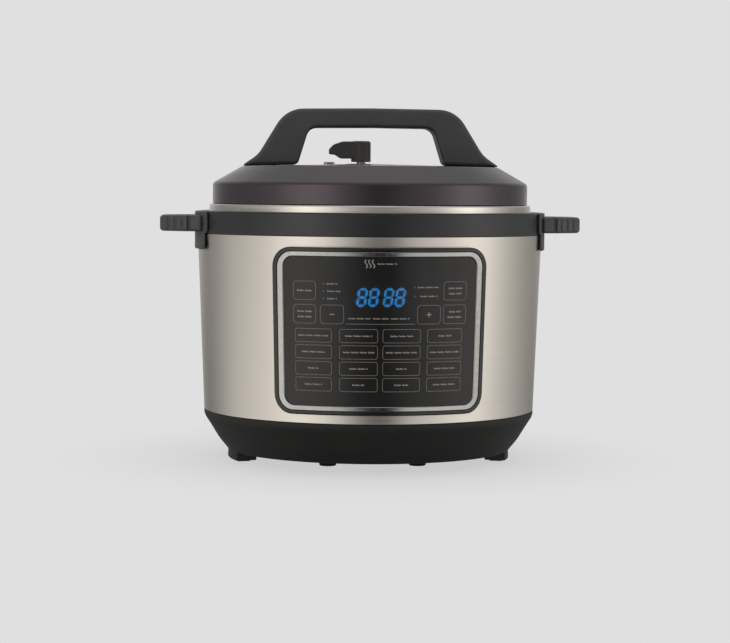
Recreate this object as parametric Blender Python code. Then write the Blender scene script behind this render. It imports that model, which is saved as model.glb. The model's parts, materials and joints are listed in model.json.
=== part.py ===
"""Electric pressure cooker, eight-quart class, as an assembly of separate pieces.

Every length below is in millimetres and becomes metres when a mesh is made (MM).
Heights are above the table. Plan positions are taken from the pot's own axis, and
the empty "cooker_axis" puts that axis where the whole object's box is centred on
the origin. The front, with the control panel, faces -Y.
"""
import math

import bmesh
import bpy
from mathutils import Matrix, Vector

MM = 0.001
GAP = 0.3                      # clearance kept between pieces that touch
ROUND = 40                     # facets round a large turned piece
SMALL_ROUND = 14               # facets round a small one

# --- driving dimensions -------------------------------------------------------
SHELL_BOTTOM_Z, SHELL_TOP_Z = 48.4, 215.5
SHELL_BOTTOM_R, SHELL_TOP_R = 157.8, 164.3
SHELL_WALL = 1.0

COLLAR_BOTTOM_Z, COLLAR_TOP_Z = 215.8, 236.9
COLLAR_R = 164.6

BASE_RIM_R, BASE_RIM_Z = 135.0, 10.0          # lower edge of the bowl-shaped base
LEG_OUTER_R, LEG_BOTTOM_Z = 133.5, 2.0

LINER_R, LINER_WALL = 128.0, 1.5
LINER_FLOOR_Z, LINER_TOP_Z = 41.0, 229.0
LUG_COUNT = 6
LUG_HALF_ANGLE = 13.0                         # degrees; the gaps are wider than the lugs
LUG_PHASE = 15.0                              # degrees from +X to the first pair

POT_R, POT_WALL = 124.5, 1.2
POT_BOTTOM_Z, POT_RIM_Z = 57.3, 231.0
POT_RIM_R = 131.0
POT_CORNER_R = 12.0

LID_SKIRT_R, LID_SKIRT_BOTTOM_Z = 154.8, 222.0
LID_SHOULDER_R, LID_SHOULDER_Z = 153.2, 243.4
LID_STEEL = 1.8
COVER_R, COVER_BOTTOM_Z, COVER_WALL_TOP_Z = 150.2, 243.7, 263.0
COVER_FLAT_R, COVER_FLAT_Z, COVER_TOP_Z = 122.4, 279.0, 282.4
COVER_WALL = 2.5

HANDLE_TOP_Z = 334.8
HANDLE_FOOT_Z = 279.6, 281.0   # underside of a foot at its outer and inner end
HANDLE_HALF_DEPTH = 18.0
HANDLE_SCREW_X = 92.0

VALVE_AT = (-6.0, 45.0)
FLOAT_AT = (-36.0, 66.0)

PANEL_HALF_WIDTH, PANEL_BOTTOM_Z, PANEL_TOP_Z = 102.5, 56.6, 206.4
PANEL_CORNER_R = 18.0
PANEL_SIDE_SHARE = 1.38        # how much wider the borders are at the sides than above
PANEL_EDGE = 1.2               # width of the frame's bevelled outer edge
PANEL_BEND_R = 166.0           # radius that turns a width on the flat panel into an angle
PANEL_SEAT, PANEL_PROUD = 0.5, 4.2           # from the shell to the frame's back and front

SIDE_HANDLE_REACH = 199.8
SIDE_HANDLE_Z = (217.6, 232.6)
SIDE_PLATE_R = 167.2

CUP_HALF_WIDTH, CUP_FRONT_Y, CUP_REAR_Y = 24.0, 165.5, 189.5
CUP_BOTTOM_Z, CUP_TOP_Z = 172.0, 215.5

INLET_HALF_WIDTH, INLET_Z, INLET_Y = 17.0, (17.0, 42.0), (128.0, 157.5)


def shell_radius(z):
    """Outside radius of the tapered steel shell at a height."""
    share = (z - SHELL_BOTTOM_Z) / (SHELL_TOP_Z - SHELL_BOTTOM_Z)
    return SHELL_BOTTOM_R + share * (SHELL_TOP_R - SHELL_BOTTOM_R)


FRONT_REACH = shell_radius(PANEL_TOP_Z - PANEL_EDGE) + PANEL_PROUD
AXIS_Y = (FRONT_REACH - CUP_REAR_Y) / 2       # centres the box on the origin, front to back

# name: (red, green, blue), roughness, metallic
FINISHES = {
    "brushed_steel": ((0.62, 0.60, 0.56), 0.32, 1.0),
    "plain_steel": ((0.55, 0.55, 0.54), 0.40, 1.0),
    "chrome": ((0.80, 0.79, 0.76), 0.12, 1.0),
    "cast_aluminium": ((0.60, 0.60, 0.60), 0.50, 1.0),
    "brass": ((0.65, 0.50, 0.22), 0.35, 1.0),
    "lid_plastic": ((0.022, 0.019, 0.022), 0.28, 0.0),
    "handle_plastic": ((0.030, 0.030, 0.030), 0.42, 0.0),
    "base_plastic": ((0.014, 0.014, 0.014), 0.40, 0.0),
    "panel_gloss": ((0.012, 0.011, 0.010), 0.10, 0.0),
    "inner_plastic": ((0.055, 0.055, 0.060), 0.50, 0.0),
    "clear_plastic": ((0.55, 0.57, 0.60), 0.20, 0.0),
    "silicone": ((0.72, 0.72, 0.70), 0.60, 0.0),
    "foot_rubber": ((0.02, 0.02, 0.02), 0.85, 0.0),
    "circuit_board": ((0.02, 0.16, 0.07), 0.45, 0.0),
    "relay_blue": ((0.03, 0.12, 0.35), 0.40, 0.0),
    "wire_brown": ((0.16, 0.06, 0.02), 0.45, 0.0),
    "wire_blue": ((0.02, 0.08, 0.40), 0.45, 0.0),
    "wire_green": ((0.05, 0.30, 0.06), 0.45, 0.0),
}


# --- building tools -----------------------------------------------------------
def clear_scene():
    for item in list(bpy.data.objects):
        bpy.data.objects.remove(item, do_unlink=True)


def material(name):
    """One Principled material per object, coloured by its finish."""
    colour, roughness, metallic = FINISHES[name]
    made = bpy.data.materials.new(name)
    made.use_nodes = True
    shader = made.node_tree.nodes["Principled BSDF"]
    shader.inputs["Base Color"].default_value = (*colour, 1.0)
    shader.inputs["Roughness"].default_value = roughness
    shader.inputs["Metallic"].default_value = metallic
    return made


def empty(name, at=(0.0, 0.0, 0.0), parent=None):
    """A joint's axis: the pieces that it carries are its children."""
    made = bpy.data.objects.new(name, None)
    made.location = Vector(at) * MM
    made.parent = parent
    bpy.context.collection.objects.link(made)
    return made


def face_out(bm):
    """Make every face of a closed body point outwards."""
    bmesh.ops.recalc_face_normals(bm, faces=bm.faces)
    if bm.calc_volume(signed=True) < 0:
        bmesh.ops.reverse_faces(bm, faces=bm.faces)


def piece(name, bm, finish, parent, smooth=35.0):
    """Turn a bmesh in millimetres into a named object in metres."""
    face_out(bm)
    bmesh.ops.scale(bm, vec=(MM, MM, MM), verts=bm.verts)
    mesh = bpy.data.meshes.new(name)
    bm.to_mesh(mesh)
    bm.free()
    mesh.shade_smooth()
    mesh.set_sharp_from_angle(angle=math.radians(smooth))
    made = bpy.data.objects.new(name, mesh)
    made.parent = parent
    made.data.materials.append(material(finish))
    bpy.context.collection.objects.link(made)
    return made


def carve(target, tool, operation="DIFFERENCE"):
    """Cut a bmesh by another, or join them, and return the result."""
    objects = []
    for index, bm in enumerate((target, tool)):
        face_out(bm)
        mesh = bpy.data.meshes.new(f"carve_{index}")
        bm.to_mesh(mesh)
        bm.free()
        made = bpy.data.objects.new(mesh.name, mesh)
        bpy.context.collection.objects.link(made)
        objects.append(made)
    modifier = objects[0].modifiers.new("carve", "BOOLEAN")
    modifier.operation = operation
    modifier.object = objects[1]
    bpy.context.view_layer.update()
    result = bmesh.new()
    result.from_object(objects[0], bpy.context.evaluated_depsgraph_get())
    for made in objects:
        mesh = made.data
        bpy.data.objects.remove(made, do_unlink=True)
        bpy.data.meshes.remove(mesh)
    bmesh.ops.dissolve_degenerate(result, edges=result.edges, dist=0.001)
    return result


def join(target, tool):
    return carve(target, tool, "UNION")


def turned(profile, facets=ROUND, centre=(0.0, 0.0)):
    """Turn a closed outline of (radius, z) about the vertical through centre."""
    bm = bmesh.new()
    rings = []
    for radius, z in profile:
        if radius == 0.0:
            rings.append([bm.verts.new((centre[0], centre[1], z))])
            continue
        ring = []
        for step in range(facets):
            angle = 2 * math.pi * step / facets
            x = centre[0] + radius * math.cos(angle)
            y = centre[1] + radius * math.sin(angle)
            ring.append(bm.verts.new((x, y, z)))
        rings.append(ring)
    pairs = list(zip(rings, rings[1:] + rings[:1]))
    for low, high in pairs:
        if len(low) == 1 and len(high) == 1:
            continue
        for step in range(facets):
            after = (step + 1) % facets
            corners = [low[step % len(low)], low[after % len(low)],
                       high[after % len(high)], high[step % len(high)]]
            bm.faces.new(list(dict.fromkeys(corners)))
    return bm


def sector(inner, outer, low, high, middle, half_angle, steps=6, lean=0.0):
    """A piece of a ring; lean is how much wider its radii are at the bottom."""
    bm = bmesh.new()
    rows = []
    for step in range(steps + 1):
        angle = math.radians(middle + half_angle * (2 * step / steps - 1))
        c, s = math.cos(angle), math.sin(angle)
        corners = ((inner + lean, low), (outer + lean, low), (outer, high), (inner, high))
        rows.append([bm.verts.new((r * c, r * s, z)) for r, z in corners])
    for one, two in zip(rows, rows[1:]):
        for k in range(4):
            bm.faces.new((one[k], one[(k + 1) % 4], two[(k + 1) % 4], two[k]))
    bm.faces.new(rows[0])
    bm.faces.new(rows[-1])
    return bm


def prism(outline, low, high, axis="z"):
    """Extrude a flat outline along an axis. The outline's own axes follow in X, Y, Z order."""
    bm = bmesh.new()
    place = {
        "z": lambda a, b, h: (a, b, h),
        "y": lambda a, b, h: (a, h, b),
        "x": lambda a, b, h: (h, a, b),
    }[axis]
    face = bm.faces.new([bm.verts.new(place(a, b, low)) for a, b in outline])
    grown = bmesh.ops.extrude_face_region(bm, geom=[face])
    step = Vector(place(0.0, 0.0, high - low))
    moved = [item for item in grown["geom"] if isinstance(item, bmesh.types.BMVert)]
    bmesh.ops.translate(bm, vec=step, verts=moved)
    return bm


def block(x, y, z, bevel=0.0, segments=1):
    """A box between the given (low, high) limits, with its edges rounded."""
    bm = prism([(x[0], y[0]), (x[1], y[0]), (x[1], y[1]), (x[0], y[1])], z[0], z[1])
    if bevel:
        soften(bm, bevel, segments)
    return bm


def soften(bm, width, segments=1, above=40.0):
    """Round the edges that are sharper than an angle."""
    face_out(bm)
    sharp = [edge for edge in bm.edges if edge.calc_face_angle(0.0) > math.radians(above)]
    bmesh.ops.bevel(bm, geom=sharp, offset=width, segments=segments, profile=0.5,
                    affect="EDGES", clamp_overlap=True)


def rod(radius, start, end, facets=SMALL_ROUND):
    """A plain round bar between two points."""
    bm = bmesh.new()
    start, end = Vector(start), Vector(end)
    along = end - start
    turn = Vector((0.0, 0.0, 1.0)).rotation_difference(along)
    where = Matrix.Translation((start + end) / 2) @ turn.to_matrix().to_4x4()
    bmesh.ops.create_cone(bm, cap_ends=True, segments=facets, radius1=radius,
                          radius2=radius, depth=along.length, matrix=where)
    return bm


def tube(points, radius, sides=6):
    """A round wire through a row of points, closed at both ends."""
    bm = bmesh.new()
    points = [Vector(point) for point in points]
    rings = []
    side = None
    for index, point in enumerate(points):
        along = points[min(index + 1, len(points) - 1)] - points[max(index - 1, 0)]
        along.normalize()
        if side is None:
            side = along.orthogonal().normalized()
        side = (side - along * side.dot(along)).normalized()
        up = along.cross(side)
        ring = []
        for k in range(sides):
            angle = 2 * math.pi * k / sides
            offset = side * math.cos(angle) + up * math.sin(angle)
            ring.append(bm.verts.new(point + offset * radius))
        rings.append(ring)
    for low, high in zip(rings, rings[1:]):
        for k in range(sides):
            bm.faces.new((low[k], low[(k + 1) % sides], high[(k + 1) % sides], high[k]))
    bm.faces.new(rings[0])
    bm.faces.new(rings[-1])
    return bm


def smooth_route(points, steps):
    """Points on a Catmull-Rom curve through the given ones."""
    points = [Vector(point) for point in points]
    padded = [2 * points[0] - points[1], *points, 2 * points[-1] - points[-2]]
    route = []
    for a, b, c, d in zip(padded, padded[1:], padded[2:], padded[3:]):
        for step in range(steps):
            t = step / steps
            route.append(0.5 * (2 * b + (c - a) * t + (2 * a - 5 * b + 4 * c - d) * t * t
                                + (3 * b - a - 3 * c + d) * t ** 3))
    route.append(points[-1])
    return route


def fillet(corner, before, after, radius, steps=4):
    """Points that round one corner of an outline."""
    corner, before, after = Vector(corner), Vector(before), Vector(after)
    into = (before - corner).normalized()
    out = (after - corner).normalized()
    half = into.angle(out) / 2
    reach = radius / math.tan(half)
    middle = corner + (into + out).normalized() * radius / math.sin(half)
    start = corner + into * reach - middle
    end = corner + out * reach - middle
    sweep = start.angle_signed(end)
    points = []
    for step in range(steps + 1):
        arm = start.copy()
        arm.rotate(Matrix.Rotation(-sweep * step / steps, 2))
        points.append(tuple(middle + arm))
    return points


def rounded(outline, radii, steps=4):
    """An outline whose corners are rounded, each by its own radius."""
    points = []
    count = len(outline)
    for index, corner in enumerate(outline):
        if radii[index] <= 0:
            points.append(tuple(corner))
            continue
        points += fillet(corner, outline[index - 1], outline[(index + 1) % count],
                         radii[index], steps)
    return points


# --- lower body ---------------------------------------------------------------
BASE_INNER_STEP_R = 113.0      # edge of the removable bottom cover
BASE_SCREW_R = 109.0
BASE_SCREW_ANGLES = (90.0, 215.0, 325.0)
FLOOR_FEET_AT = ((-42.0, -63.0), (42.0, -63.0), (-42.0, 63.0), (42.0, 63.0))


def base_housing(parent):
    """Bowl of black plastic with two moulded side legs and a window for the inlet."""
    upstand = shell_radius(SHELL_BOTTOM_Z) - SHELL_WALL - 0.6
    profile = [
        (BASE_RIM_R, BASE_RIM_Z), (144.0, 21.0), (151.2, 33.0), (156.8, 41.6),
        (SHELL_BOTTOM_R, 44.6), (SHELL_BOTTOM_R, SHELL_BOTTOM_Z - GAP),
        (upstand, SHELL_BOTTOM_Z - GAP), (upstand, 54.6), (upstand - 2.2, 54.6),
        (upstand - 2.2, 44.6), (132.0, 14.8),
        (105.0, 14.8), (105.0, 12.8), (BASE_INNER_STEP_R, 12.8), (BASE_INNER_STEP_R, BASE_RIM_Z),
    ]
    bm = turned(profile)
    for middle in (0.0, 180.0):
        leg = sector(114.5, LEG_OUTER_R + 1.0, LEG_BOTTOM_Z, 12.0, middle, 20.0, 8, lean=-1.0)
        bm = join(bm, leg)
    for angle in BASE_SCREW_ANGLES:
        x, y = (BASE_SCREW_R * f(math.radians(angle)) for f in (math.cos, math.sin))
        bm = carve(bm, rod(2.0, (x, y, 5.0), (x, y, 20.0), 10))
    reach = INLET_HALF_WIDTH + GAP
    window = block((-reach, reach), (100.0, 170.0), (INLET_Z[0] - GAP, INLET_Z[1] + GAP))
    return piece("base_housing", carve(bm, window), "base_plastic", parent)


def bottom_cover(parent):
    """Round cover plate with vent slots and three screw holes."""
    edge = BASE_INNER_STEP_R - 0.5
    bm = turned([(0.0, 12.4), (edge, 12.4), (edge, 10.4), (0.0, 10.4)], 24)
    for angle in BASE_SCREW_ANGLES:
        x, y = (BASE_SCREW_R * f(math.radians(angle)) for f in (math.cos, math.sin))
        bm = carve(bm, rod(2.0, (x, y, 5.0), (x, y, 20.0), 10))
    for step in range(5):
        x = -24.0 + 12.0 * step
        bm = carve(bm, block((x - 2.0, x + 2.0), (-34.0, 34.0), (5.0, 20.0)))
    return piece("bottom_cover", bm, "base_plastic", parent)


def base_screws(parent):
    for number, angle in enumerate(BASE_SCREW_ANGLES, 1):
        x, y = (BASE_SCREW_R * f(math.radians(angle)) for f in (math.cos, math.sin))
        profile = [(0.0, 17.5), (1.6, 17.5), (1.6, 10.1), (3.2, 10.1), (3.2, 8.9), (2.2, 8.1),
                   (0.0, 8.1)]
        piece(f"base_screw_{number}", turned(profile, 12, (x, y)), "plain_steel", parent)


def feet(parent):
    """Rubber pads under the two moulded legs and four round feet under the cover."""
    for name, middle in (("foot_right", 0.0), ("foot_left", 180.0)):
        pad = sector(118.0, 130.0, 0.0, LEG_BOTTOM_Z - GAP, middle, 15.0, 8)
        piece(name, pad, "foot_rubber", parent)
    top = 10.4 - GAP
    for (x, y), side in zip(FLOOR_FEET_AT, ("front_left", "front_right", "rear_left", "rear_right")):
        profile = [(0.0, top), (9.0, top), (9.0, 5.0), (7.6, 0.0), (0.0, 0.0)]
        piece(f"foot_{side}", turned(profile, 16, (x, y)), "foot_rubber", parent)


def outer_shell(parent):
    """Tapered steel shell with the panel's window in front."""
    low = SHELL_BOTTOM_Z + 0.1
    profile = [
        (shell_radius(SHELL_TOP_Z), SHELL_TOP_Z), (shell_radius(low), low),
        (shell_radius(low) - SHELL_WALL, low), (SHELL_TOP_R - SHELL_WALL, SHELL_TOP_Z),
    ]
    bm = turned(profile)
    window = block((-80.0, 80.0), (-200.0, -100.0), (74.0, 190.0))
    return piece("outer_shell", carve(bm, window), "brushed_steel", parent)


def top_collar(parent):
    """Black ring with the gutter that catches condensation, and the cup's mount behind."""
    profile = [
        (COLLAR_R, COLLAR_BOTTOM_Z), (COLLAR_R, COLLAR_TOP_Z - 1.3),
        (COLLAR_R - 1.2, COLLAR_TOP_Z), (160.0, COLLAR_TOP_Z), (158.6, COLLAR_TOP_Z - 1.1),
        (158.2, 219.8), (135.5, 219.8), (135.5, 226.6), (130.5, 226.6), (130.5, 217.4),
        (159.8, 217.4), (159.8, 206.0), (162.0, 206.0), (162.0, COLLAR_BOTTOM_Z + 0.1),
    ]
    bm = turned(profile)
    boss = block((-22.0, 22.0), (161.0, 186.0), (COLLAR_BOTTOM_Z, 228.5), 1.5)
    trim = turned([(158.9, 240.0), (158.9, 200.0), (80.0, 200.0), (80.0, 240.0)])
    bm = join(bm, carve(boss, trim))
    bm = carve(bm, block((-6.0, 6.0), (150.0, 180.0), (220.0, 224.5)))
    bm = carve(bm, block((-5.0, 5.0), (170.0, 179.9), (205.0, 222.0)))
    return piece("top_collar", bm, "lid_plastic", parent)


def side_handle_outline():
    """Half-widths of the loop's outer and inner edge, as (x, y) points round it."""
    outer = [(160.0, -52.0), (176.5, -46.0), (SIDE_HANDLE_REACH, -27.0),
             (SIDE_HANDLE_REACH, 27.0), (176.5, 46.0), (160.0, 52.0)]
    inner = [(171.5, -29.0), (185.5, -21.0), (185.5, 21.0), (171.5, 29.0)]
    return (rounded(outer, (0.0, 14.0, 16.0, 16.0, 14.0, 0.0)),
            rounded(inner, (5.0, 8.0, 8.0, 5.0)))


def side_handles(parent):
    """Loop handles: a curved backing plate, a tab below the collar and a grip."""
    outer, inner = side_handle_outline()
    for name, turn in (("side_handle_right", 0.0), ("side_handle_left", 180.0)):
        loop = carve(prism(outer, *SIDE_HANDLE_Z), prism(inner, 200.0, 250.0))
        soften(loop, 2.2, 1, above=60.0)
        back = turned([(COLLAR_R + 0.35, 250.0), (COLLAR_R + 0.35, 190.0), (80.0, 190.0),
                       (80.0, 250.0)])
        loop = carve(loop, back)
        back_r = COLLAR_R + 0.35
        plate = sector(back_r, SIDE_PLATE_R, COLLAR_BOTTOM_Z + 0.4, COLLAR_TOP_Z - 0.4, 0.0, 21.0, 6)
        tab = sector(back_r, SIDE_PLATE_R, 201.0, COLLAR_BOTTOM_Z + 1.4, 0.0, 18.6, 6)
        bm = join(join(plate, tab), loop)
        bmesh.ops.rotate(bm, cent=(0.0, 0.0, 0.0), verts=bm.verts,
                         matrix=Matrix.Rotation(math.radians(turn), 3, "Z"))
        piece(name, bm, "handle_plastic", parent)


def condensation_cup(parent):
    """Small open cup that hangs behind the shell, under the collar's drain."""
    x, y = CUP_HALF_WIDTH, (CUP_FRONT_Y, CUP_REAR_Y)
    z = (CUP_BOTTOM_Z, CUP_TOP_Z)
    outside = block((-x, x), y, z, 3.0, 2)
    wall = 1.6
    inside = block((wall - x, x - wall), (y[0] + wall, y[1] - wall), (z[0] + wall, z[1] + 20.0))
    return piece("condensation_cup", carve(outside, inside), "clear_plastic", parent)


# --- heating side -------------------------------------------------------------
def liner_pot(parent):
    """Fixed outer pot whose flange carries the locking lugs."""
    inner = LINER_R - LINER_WALL
    top = LINER_TOP_Z
    profile = [
        (139.0, top), (139.0, top - 2.0), (LINER_R, top - 2.0), (LINER_R, LINER_FLOOR_Z + 4.0),
        (LINER_R - 4.0, LINER_FLOOR_Z), (70.0, LINER_FLOOR_Z), (70.0, LINER_FLOOR_Z + 1.5),
        (inner - 3.4, LINER_FLOOR_Z + 1.5), (inner, LINER_FLOOR_Z + 4.9), (inner, top),
    ]
    bm = turned(profile)
    for number in range(LUG_COUNT):
        middle = LUG_PHASE + number * 360.0 / LUG_COUNT
        lug = sector(137.0, 150.0, top - 1.8, top - 0.2, middle, LUG_HALF_ANGLE, 2)
        bm = join(bm, lug)
    return piece("liner_pot", bm, "plain_steel", parent)


def heating_group(parent):
    """Support plate, cast heating plate, sensor bracket, switch and fuse."""
    floor = LINER_FLOOR_Z + 1.5 + GAP
    plate = turned([(88.0, floor), (88.0, floor + 1.5), (21.0, floor + 1.5), (21.0, floor)], 36)
    piece("support_plate", plate, "plain_steel", parent)

    low = floor + 1.5 + GAP
    top = POT_BOTTOM_Z - GAP
    heater = turned([
        (93.0, top - 1.2), (91.8, top), (17.5, top), (17.5, low + 2.0), (56.0, low + 2.0),
        (58.0, low), (74.0, low), (76.0, low + 2.0), (93.0, low + 2.0),
    ], 36)
    piece("heating_plate", heater, "cast_aluminium", parent)

    outline = [(-27.0, 42.3), (-27.0, 33.5), (27.0, 33.5), (27.0, 42.3), (25.6, 42.3),
               (25.6, 34.9), (-25.6, 34.9), (-25.6, 42.3)]
    piece("sensor_bracket", prism(outline, -8.0, 8.0, "y"), "plain_steel", parent)

    switch = block((-60.0, -36.0), (-7.0, 7.0), (29.0, 41.0), 0.8)
    switch = join(switch, rod(2.2, (-48.0, 0.0, 40.0), (-48.0, 0.0, 42.4), 12))
    piece("pressure_switch", switch, "inner_plastic", parent)
    fuse = rod(2.4, (-10.0, 45.0, 39.9), (12.0, 45.0, 39.9), 14)
    piece("thermal_fuse", fuse, "plain_steel", parent)


SENSOR_SPRING_FOOT = 35.3
SENSOR_SPRING_TOP = 54.2


def sensor(parent):
    """Sprung temperature sensor in the middle of the heating plate."""
    top = POT_BOTTOM_Z - 2 * GAP
    cap = turned([(0.0, top), (12.6, top), (14.0, top - 1.4), (14.0, 49.0), (12.6, 49.0),
                  (12.6, top - 2.0), (0.0, top - 2.0)], 20)
    piece("sensor_cap", cap, "cast_aluminium", parent)
    turns, wire, radius, steps = 4, 0.6, 8.5, 10
    low, high = SENSOR_SPRING_FOOT + wire, SENSOR_SPRING_TOP - wire
    helix = []
    for step in range(turns * steps + 1):
        angle = 2 * math.pi * step / steps
        z = low + (high - low) * step / (turns * steps)
        helix.append((radius * math.cos(angle), radius * math.sin(angle), z))
    piece("sensor_spring", tube(helix, wire, 5), "plain_steel", parent, smooth=80.0)


def electrics(parent):
    """Boards, inlet and wiring in the base and behind the panel."""
    board = block((60.0, 112.0), (-40.0, 40.0), (18.0, 19.6))
    piece("power_board", board, "circuit_board", parent)
    piece("power_relay", block((66.0, 84.0), (-32.0, -12.0), (19.9, 34.0), 0.8), "relay_blue",
          parent)
    piece("power_transformer", block((84.0, 108.0), (0.0, 26.0), (19.9, 37.0), 1.2),
          "inner_plastic", parent)

    tray = block((-76.0, 76.0), (-141.0, -133.6), (78.0, 186.0))
    hollow = block((-74.0, 74.0), (-150.0, -135.4), (80.0, 184.0))
    notch = block((48.0, 56.0), (-150.0, -135.4), (70.0, 90.0))
    piece("panel_housing", carve(carve(tray, hollow), notch), "inner_plastic", parent)
    board = block((-66.0, 66.0), (-137.4, -135.8), (84.0, 180.0))
    piece("control_board", board, "circuit_board", parent)
    module = block((-29.0, 29.0), (-155.5, -137.7), (148.0, 173.5), 0.6)
    piece("display_module", module, "inner_plastic", parent)

    x, y, z = INLET_HALF_WIDTH, INLET_Y, INLET_Z
    inlet = block((-x, x), y, z, 1.2)
    socket = rounded([(-12.0, 21.0), (12.0, 21.0), (12.0, 38.0), (-12.0, 38.0)],
                     (1.0, 1.0, 5.0, 5.0), 2)
    inlet = carve(inlet, prism(socket, 140.0, 170.0, "y"))
    pins = {"live": (-7.0, 27.0), "neutral": (7.0, 27.0), "earth": (0.0, 33.0)}
    for px, pz in pins.values():
        inlet = carve(inlet, block((px - 1.3, px + 1.3), (120.0, 150.0), (pz - 2.3, pz + 2.3)))
    piece("power_inlet", inlet, "inner_plastic", parent)
    landings = {"live": (66.0, 34.0), "earth": (80.0, 34.0), "neutral": (96.0, 34.0)}
    colours = {"live": "wire_brown", "neutral": "wire_blue", "earth": "wire_green"}
    for name, (px, pz) in pins.items():
        pin = block((px - 1.0, px + 1.0), (122.0, 153.0), (pz - 2.0, pz + 2.0), 0.3)
        piece(f"inlet_pin_{name}", pin, "brass", parent)
        ex, ey = landings[name]
        route = [(px, 121.6, pz), (px + 1.0, 112.0, pz), (px + 16.0, 98.0, pz - 2.0),
                 (ex - 16.0, ey + 34.0, 26.0), (ex, ey + 8.0, 26.0), (ex, ey, 21.3)]
        piece(f"wire_{name}", tube(smooth_route(route, 4), 1.1), colours[name], parent, 80.0)
    route = [(52.0, -138.0, 83.4), (52.0, -140.0, 70.0), (58.0, -136.0, 48.0),
             (74.0, -112.0, 30.0), (84.0, -80.0, 24.0), (86.0, -46.0, 24.0),
             (86.0, -37.0, 21.6)]
    piece("ribbon_cable", tube(smooth_route(route, 4), 1.4), "inner_plastic", parent, 80.0)


# --- control panel ------------------------------------------------------------
def panel_outline(inset):
    """The panel's rounded outline, drawn in by an inset, as (width, height) points."""
    half = PANEL_HALF_WIDTH - inset * PANEL_SIDE_SHARE
    radius = max(PANEL_CORNER_R - inset, 2.0)
    low, high = PANEL_BOTTOM_Z + inset, PANEL_TOP_Z - inset
    corners = [(-half, low), (half, low), (half, high), (-half, high)]
    return rounded(corners, (radius,) * 4, 4)


def wrap_on_shell(bm):
    """Slice a flat panel piece (width, proudness, height) and bend it round the shell."""
    edge = PANEL_HALF_WIDTH + 1.0
    slices = 12
    for step in range(1, slices):
        x = -edge + 2 * edge * step / slices
        everything = bm.verts[:] + bm.edges[:] + bm.faces[:]
        bmesh.ops.bisect_plane(bm, geom=everything, plane_co=(x, 0.0, 0.0),
                               plane_no=(1.0, 0.0, 0.0))
    for vert in bm.verts:
        width, proud, z = vert.co
        angle = width / PANEL_BEND_R
        radius = shell_radius(z) + proud
        vert.co = (radius * math.sin(angle), -radius * math.cos(angle), z)
    return bm


def panel_ring(section):
    """Sweep a section of (inset, proudness) points round the panel's outline."""
    bm = bmesh.new()
    loops = []
    for inset, proud in section:
        loops.append([bm.verts.new((w, proud, h)) for w, h in panel_outline(inset)])
    for one, two in zip(loops, loops[1:] + loops[:1]):
        count = len(one)
        for k in range(count):
            after = (k + 1) % count
            bm.faces.new((one[k], one[after], two[after], two[k]))
    return wrap_on_shell(bm)


def control_panel(parent):
    """Black frame, bright trim ring inside it, and the touch face with its window."""
    frame = panel_ring([(0.0, PANEL_SEAT), (0.0, 3.0), (PANEL_EDGE, PANEL_PROUD), (3.6, PANEL_PROUD),
                        (3.6, 1.3), (10.4, 1.3), (10.4, PANEL_SEAT)])
    piece("panel_frame", frame, "panel_gloss", parent)
    trim = panel_ring([(3.9, 1.6), (3.9, 3.5), (4.6, 4.0), (7.6, 4.0), (8.2, 3.4), (8.2, 1.6)])
    piece("panel_trim", trim, "chrome", parent)
    face = wrap_on_shell(prism(panel_outline(8.5), 1.6, 3.2, "y"))
    piece("panel_face", face, "panel_gloss", parent)


# --- pot, seal and lid --------------------------------------------------------
def inner_pot(parent):
    """Removable cooking pot with a rolled rim."""
    corner, low, wall = POT_CORNER_R, POT_BOTTOM_Z, POT_WALL
    outside, inside = [], []
    for step in range(4):
        angle = math.radians(90.0 * step / 3)
        s, c = math.sin(angle), math.cos(angle)
        outside.append((POT_R - corner + corner * s, low + corner - corner * c))
        small = corner - wall
        inside.append((POT_R - corner + small * s, low + corner - small * c))
    rim = [(POT_R, POT_RIM_Z - 1.6), (POT_RIM_R, POT_RIM_Z - 1.6), (POT_RIM_R, POT_RIM_Z),
           (POT_R - wall, POT_RIM_Z)]
    profile = [(0.0, low), *outside, *rim, *reversed(inside), (0.0, low + wall)]
    piece("inner_pot", turned(profile), "brushed_steel", parent)


def sealing_ring(parent):
    """Silicone ring between the pot's rim and the lid."""
    low, high = POT_RIM_Z + GAP, 248.9
    profile = [(134.0, low), (134.0, high), (118.0, high), (116.2, 243.0), (122.0, 241.4),
               (122.0, 238.6), (116.2, 237.0), (117.0, low)]
    piece("sealing_ring", turned(profile), "silicone", parent)


LID_SEAT_Z = 251.0             # outside of the flat where the sealing ring bears
LID_DOME_Z = 264.0


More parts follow.
